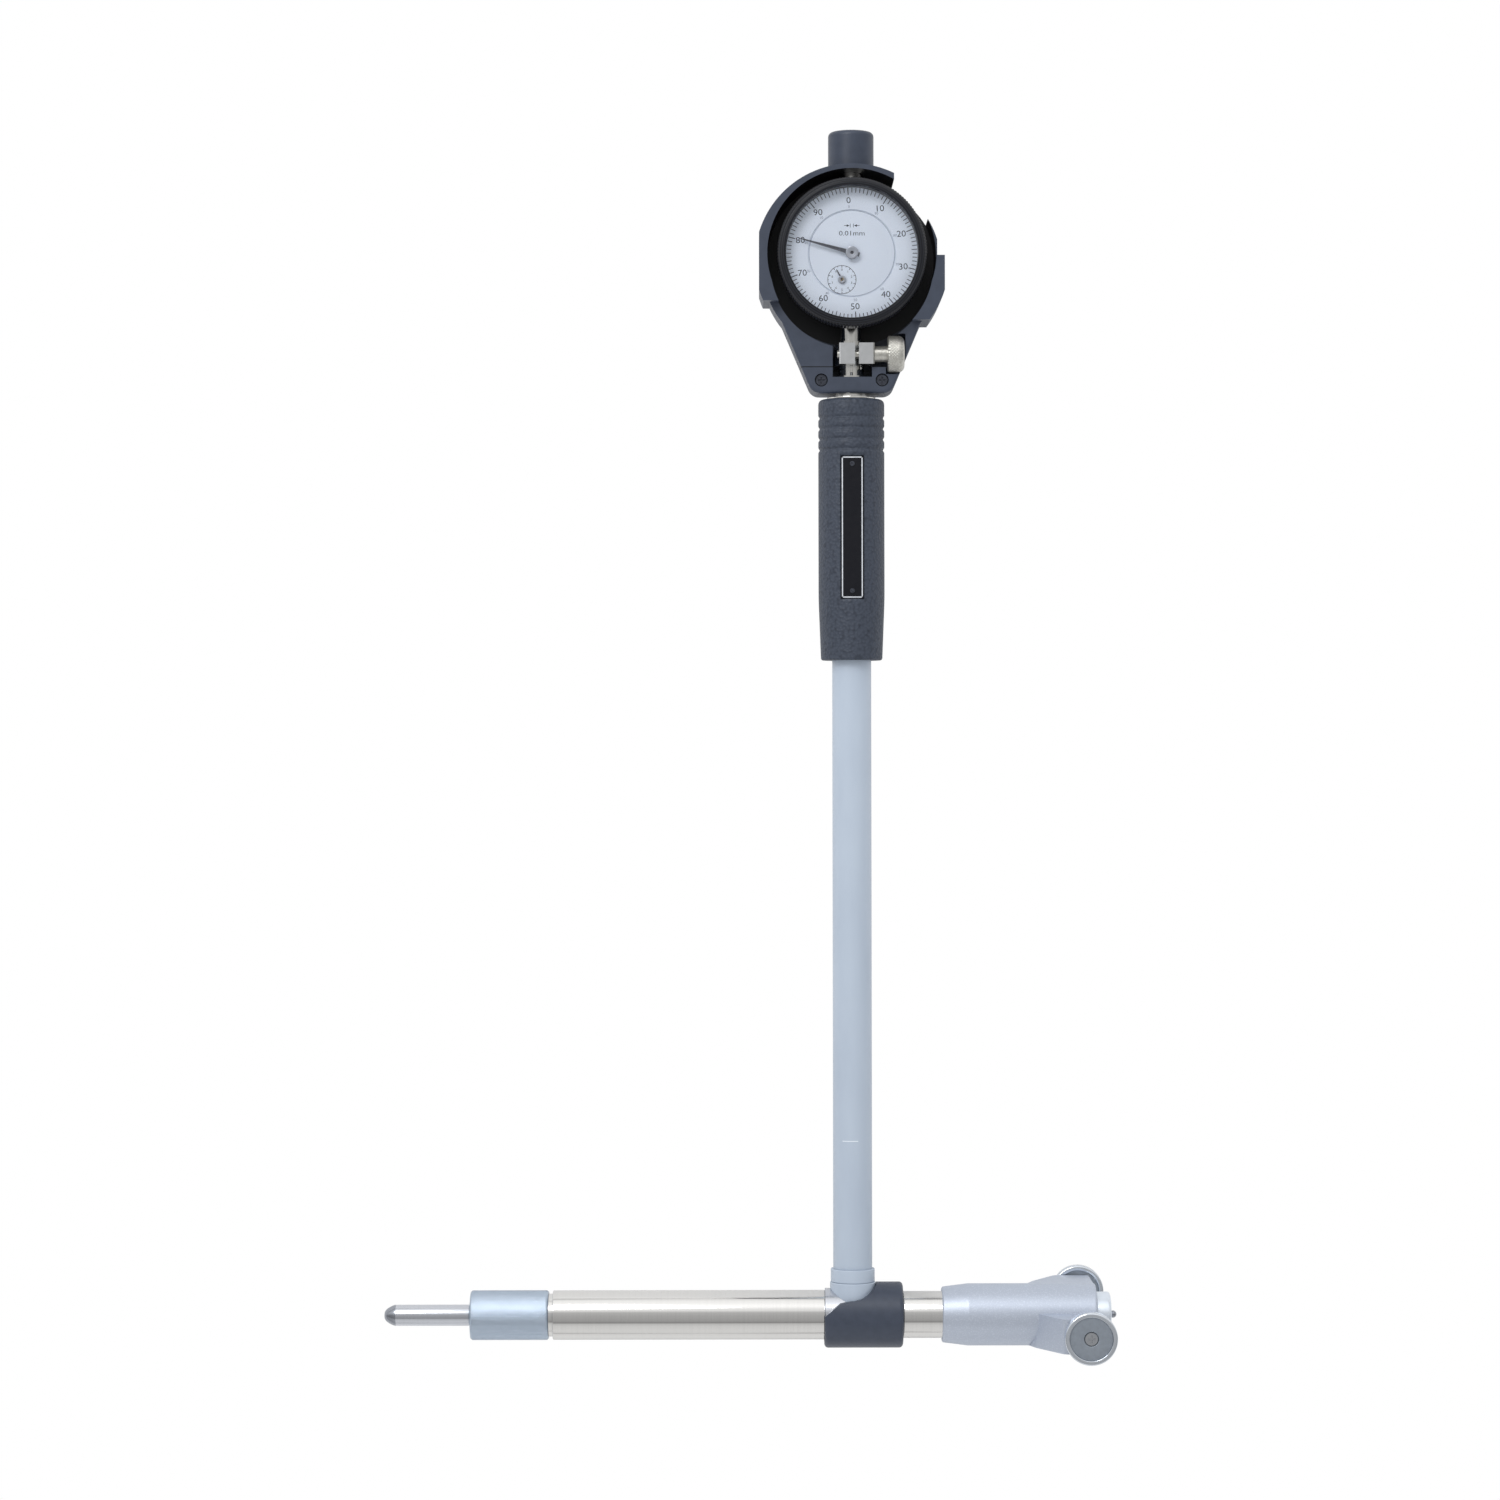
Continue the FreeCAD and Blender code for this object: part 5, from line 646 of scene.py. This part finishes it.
def make_dial():
    turned("graduated_ring", rounded(ring(16.7, 25.1, 12.5, 13.1), [0, 0, 0, 0.12], 3), "+Z", DIAL,
           "bezel", "dial_white", "dial_white", ["dial_ring"], segments=192)
    disc = [(0, 12.2), (17.4, 12.2), (17.4, 12.4), (16.5, 12.4), (16.5, 12.8), (0, 12.8)]
    turned("inner_disc", rounded(disc, [0, 0, 0, 0, 0.1, 0], 3), "+Z", DIAL,
           "frame", "dial_white", "dial_white", ["dial_disc"], segments=192)
    high, low = 13.115, 12.815          # print on the graduated ring and on the disc
    numbers, back_numbers, counter_numbers = 20.3, 17.85, 3.85
    marks = []
    for i in range(100):
        angle = 90 + DIAL_TURN - 3.6 * i
        near = 22.3 if i % 10 == 0 else 22.8 if i % 5 == 0 else 23.2
        wide = 0.34 if i % 10 == 0 else 0.27
        marks.append(bar(0, 0, angle, near, 25.0, wide, high))
    faint = []
    for i in range(10):
        angle = math.radians(90 + DIAL_TURN - 36 * i)
        across, up = numbers * math.cos(angle), numbers * math.sin(angle)
        marks.append(word(str(10 * i), 2.35, across, up, high, DIAL_TURN, 1.08))
        back = str((100 - 10 * i) % 100)
        aside = math.radians(90 + DIAL_TURN - 36 * i + (0 if i == 0 else 0.8))
        across, up = back_numbers * math.cos(aside), back_numbers * math.sin(aside)
        faint.append(word(back, 1.0, across, up, high, DIAL_TURN))
    verts, faces = merged(marks)
    piece("ring_print", verts, faces, "bezel", "print", "dial_white")
    verts, faces = merged(faint)
    piece("ring_faint_print", verts, faces, "bezel", "faint", "dial_white")

    marks = [word("0.01mm", 1.8, 0, 7.7, low, 0, 1.2)]
    arrows_up = 10.6
    for side in (-1, 1):
        marks.append(bar(side * 0.6, arrows_up, 90, -0.7, 0.7, 0.2, low))
        marks.append(bar(0, arrows_up, 0 if side > 0 else 180, 1.6, 3.0, 0.2, low))
        tip = side * 0.85
        arrow = [(tip, 0), (tip + side * 1.1, 0.5), (tip + side * 1.1, -0.5)]
        marks.append(([(u, DIAL_Y + arrows_up + v, low) for u, v in arrow], [(0, 1, 2)]))
    cx, cy = COUNTER
    marks.append(flat_ring(cx, cy, 5.4, 0.2, low))
    faint = [flat_ring(0, 0, 16.3, 0.16, low)]
    for i in range(10):
        angle = 90 - 36 * i
        marks.append(bar(cx, cy, angle, 4.6, 5.4, 0.22, low))
        marks.append(bar(cx, cy, angle - 18, 4.95, 5.4, 0.16, low))
        across = counter_numbers * math.cos(math.radians(angle))
        up = counter_numbers * math.sin(math.radians(angle))
        marks.append(word(str(i), 0.85, cx + across, cy + up, low))
    verts, faces = merged(marks)
    piece("disc_print", verts, faces, "frame", "print", "dial_white")
    verts, faces = merged(faint)
    piece("disc_faint_print", verts, faces, "frame", "faint", "dial_white")

    bezel_profile = [(26.1, 9.8), (28.5, 9.8), (28.5, 18.2), (26.9, 19.8), (25.2, 19.8), (25.2, 19.05),
                     (25.85, 19.05), (25.85, 17.6), (25.2, 17.6), (25.2, 12.5), (24.3, 12.5), (24.3, 11.6),
                     (26.1, 11.6)]
    bezel_corners = [0.1, 0.2, 0.4, 0.5, 0.25] + [0] * 8

    def serrated(angle, radius, distance):
        if radius > 28.2:
            return radius - 0.22 * (0.5 + 0.5 * math.cos(angle * 150))
        return radius

    turned("bezel_turning", rounded(bezel_profile, bezel_corners, 4), "+Z", DIAL, "bezel", "bezel_black",
           "bezel_black", ["bezel"], segments=900, wave=serrated, sharp=45)
    turned("crystal_disc", ring(0, 25.8, 17.65, 19.0), "+Z", DIAL, "bezel", "crystal", "crystal_clear",
           ["crystal"], segments=160)


def hand(name, centre, angle, level, reach, tail, root, tip, hub, hub_low, hub_top, body, stands_for):
    """A pointer that thins towards its end, and the turned hub that it is pressed on."""
    cx, cy = centre
    c, s = math.cos(math.radians(angle)), math.sin(math.radians(angle))
    outline = [(-tail, -root / 2), (hub, -root / 2), (reach * 0.9, -tip / 2), (reach, 0),
               (reach * 0.9, tip / 2), (hub, root / 2), (-tail, root / 2)]
    verts = []
    for z in (level, level + 0.3):
        verts += [(cx + u * c - v * s, DIAL_Y + cy + u * s + v * c, z) for u, v in outline]
    n = len(outline)
    faces = [tuple(range(n - 1, -1, -1)), tuple(range(n, 2 * n))]
    faces += [(i, (i + 1) % n, (i + 1) % n + n, i + n) for i in range(n)]
    piece(name + "_blade", verts, faces, body, "pointer_dark", "pointer_dark", stands_for)
    bore, lip = 0.65, 0.12
    knob = [(bore, hub_low), (hub, hub_low), (hub, hub_top), (hub * 0.62, hub_top),
            (hub * 0.62, hub_top - lip), (bore, hub_top - lip)]
    turned(name + "_hub", rounded(knob, [0, 0.1, 0.2, 0.05, 0, 0.1], 3), "+Z", (cx, DIAL_Y + cy, 0), body,
           "hub", "pointer_dark", segments=96)


def make_hands():
    hand("main_hand", (0, 0), angle=164.5, level=14.8, reach=22.0, tail=3.0, root=1.55, tip=0.42,
         hub=2.45, hub_low=14.45, hub_top=15.65, body="centre", stands_for=["main_pointer"])
    hand("counter_hand", COUNTER, angle=118.6, level=13.5, reach=4.5, tail=1.6, root=0.55, tip=0.3,
         hub=1.5, hub_low=13.35, hub_top=13.95, body="pinion", stands_for=["counter_pointer"])


# ---------------------------------------------------------------------------
# Nodes that keep their own solids
# ---------------------------------------------------------------------------
KEPT = {
    "handle_paint": ["tube_foot"],
    "sleeve": ["tee_sleeve"],
    "cover": ["dial_cover", "cover_plate"],
    "plate_black": ["name_plate"],
    "steel_y": ["neck_bush", "stem_collet", "indicator_stem", "stem_cap"],
    "steel_x": ["anvil_bush"],
    "ground_y": ["push_rod", "spindle", "contact_tip"],
    "ground_x": ["plunger", "guide_key", "guide_pin", "tee_body"],
    "ground_z": ["crank_pin", "bell_crank", "centre_arbor", "roller_screws"],
    "dark_screw": ["cover_screws", "back_screws", "plate_rivets"],
    "spring_steel": ["rod_spring", "plunger_spring", "guide_spring", "return_spring"],
    "bushes": ["rod_bushes", "plunger_bush", "lower_bridge", "upper_bridge", "pinion_wheel", "take_up_wheel"],
    "bright": ["stem_clamp"],
    "guide_cast": ["guide_body"],
    "case_metal": ["indicator_case", "case_back"],
}


def paint_nodes():
    """Give the nodes that keep their own solids their materials."""
    for look, names in KEPT.items():
        for name in names:
            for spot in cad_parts[name].material_slots:
                spot.material = LOOKS[look]


# ---------------------------------------------------------------------------
# Table, light and camera
# ---------------------------------------------------------------------------
def grey_ramp(tree, value, low, high, stops):
    """A ramp of greys over a value that runs from low to high."""
    spread = tree.nodes.new("ShaderNodeMapRange")
    spread.inputs["From Min"].default_value = low
    spread.inputs["From Max"].default_value = high
    tree.links.new(value, spread.inputs["Value"])
    ramp = tree.nodes.new("ShaderNodeValToRGB")
    ramp.color_ramp.interpolation = "EASE"
    while len(ramp.color_ramp.elements) < len(stops):
        ramp.color_ramp.elements.new(0.5)
    for element, (place, level) in zip(ramp.color_ramp.elements, stops):
        element.position = (place - low) / (high - low)
        element.color = (level, level, level, 1)
    tree.links.new(spread.outputs[0], ramp.inputs[0])
    return ramp.outputs["Color"]


def make_world():
    """An even light, which reflections see as a banded tent with a dark gap below the middle."""
    world = bpy.data.worlds.new("tent")
    world.use_nodes = True
    bpy.context.scene.world = world
    tree = world.node_tree
    background = tree.nodes["Background"]
    split = tree.nodes.new("ShaderNodeSeparateXYZ")
    tree.links.new(tree.nodes.new("ShaderNodeTexCoord").outputs["Generated"], split.inputs[0])

    def lean(side):
        node = tree.nodes.new("ShaderNodeMath")
        node.operation = "ARCTAN2"
        tree.links.new(split.outputs[side], node.inputs[0])
        tree.links.new(split.outputs["Z"], node.inputs[1])
        return node.outputs[0]

    up = grey_ramp(tree, lean("Y"), -1.6, 1.6, [
        (-1.6, 0.78), (-1.24, 0.8), (-0.87, 0.75), (-0.6, 0.62), (-0.525, 0.27), (-0.4, 0.38), (-0.28, 0.42),
        (-0.04, 0.46), (0.28, 0.54), (0.525, 0.96), (0.87, 1.3), (1.24, 1.15), (1.6, 0.86)])
    across = grey_ramp(tree, lean("X"), -1.6, 1.6, [
        (-1.6, 0.6), (-1.1, 0.8), (-0.6, 1.0), (0.5, 1.0), (0.9, 0.7), (1.6, 0.6)])
    both = tree.nodes.new("ShaderNodeMix")
    both.data_type = "RGBA"
    both.blend_type = "MULTIPLY"
    both.inputs["Factor"].default_value = 1.0
    tree.links.new(up, both.inputs["A"])
    tree.links.new(across, both.inputs["B"])
    even = tree.nodes.new("ShaderNodeMix")
    even.data_type = "RGBA"
    even.inputs["A"].default_value = (0.9, 0.9, 0.9, 1)
    tree.links.new(tree.nodes.new("ShaderNodeLightPath").outputs["Is Glossy Ray"], even.inputs["Factor"])
    tree.links.new(both.outputs["Result"], even.inputs["B"])
    tree.links.new(even.outputs["Result"], background.inputs["Color"])


def make_table():
    """A table top that looks white to the camera and plain pale to everything else."""
    mesh = bpy.data.meshes.new("table_top")
    mesh.from_pydata([(-6, -6, 0), (6, -6, 0), (6, 6, 0), (-6, 6, 0)], [], [(0, 1, 2, 3)])
    top = bpy.data.objects.new("table_top", mesh)
    bpy.context.scene.collection.objects.link(top)
    mat = bpy.data.materials.new("table_white")
    mat.use_nodes = True
    tree = mat.node_tree
    out = tree.nodes["Material Output"]
    shader = tree.nodes["Principled BSDF"]
    shader.inputs["Base Color"].default_value = (0.8, 0.8, 0.8, 1)
    shader.inputs["Roughness"].default_value = 0.8
    glow = tree.nodes.new("ShaderNodeEmission")
    glow.inputs["Color"].default_value = (1, 1, 1, 1)
    glow.inputs["Strength"].default_value = 1.0
    mix = tree.nodes.new("ShaderNodeMixShader")
    rays = tree.nodes.new("ShaderNodeLightPath")
    tree.links.new(rays.outputs["Is Camera Ray"], mix.inputs[0])
    tree.links.new(shader.outputs[0], mix.inputs[1])
    tree.links.new(glow.outputs[0], mix.inputs[2])
    tree.links.new(mix.outputs[0], out.inputs["Surface"])
    mesh.materials.append(mat)


def make_light(name, place, aim, size, power):
    """A rectangular area light, placed and sized in metres."""
    data = bpy.data.lights.new(name, "AREA")
    data.shape = "RECTANGLE"
    data.size, data.size_y = size
    data.energy = power
    obj = bpy.data.objects.new(name, data)
    obj.location = place
    obj.rotation_euler = (Vector(aim) - Vector(place)).to_track_quat("-Z", "Y").to_euler()
    bpy.context.scene.collection.objects.link(obj)


def make_camera():
    """Straight above the middle of the picture, about a metre and a half up."""
    data = bpy.data.cameras.new("camera")
    obj = bpy.data.objects.new("camera", data)
    bpy.context.scene.collection.objects.link(obj)
    distance, shown = 1480, 577.5       # millimetres up, and across the picture at the crossing's height
    obj.location = at(-39.2, 217.4, distance)
    obj.rotation_euler = (0, 0, math.radians(-0.1))
    data.sensor_width = 36
    data.lens = data.sensor_width * distance / shown
    data.clip_start = 0.05
    data.clip_end = 50
    bpy.context.scene.camera = obj


make_handle()
make_head()
make_clamp()
make_dial()
make_hands()
paint_nodes()
make_world()
make_table()
make_light("key", (-0.5, 0.9, 1.2), (0, 0, 0), (0.9, 0.6), 9)
make_camera()
bpy.context.scene.view_settings.view_transform = "Standard"
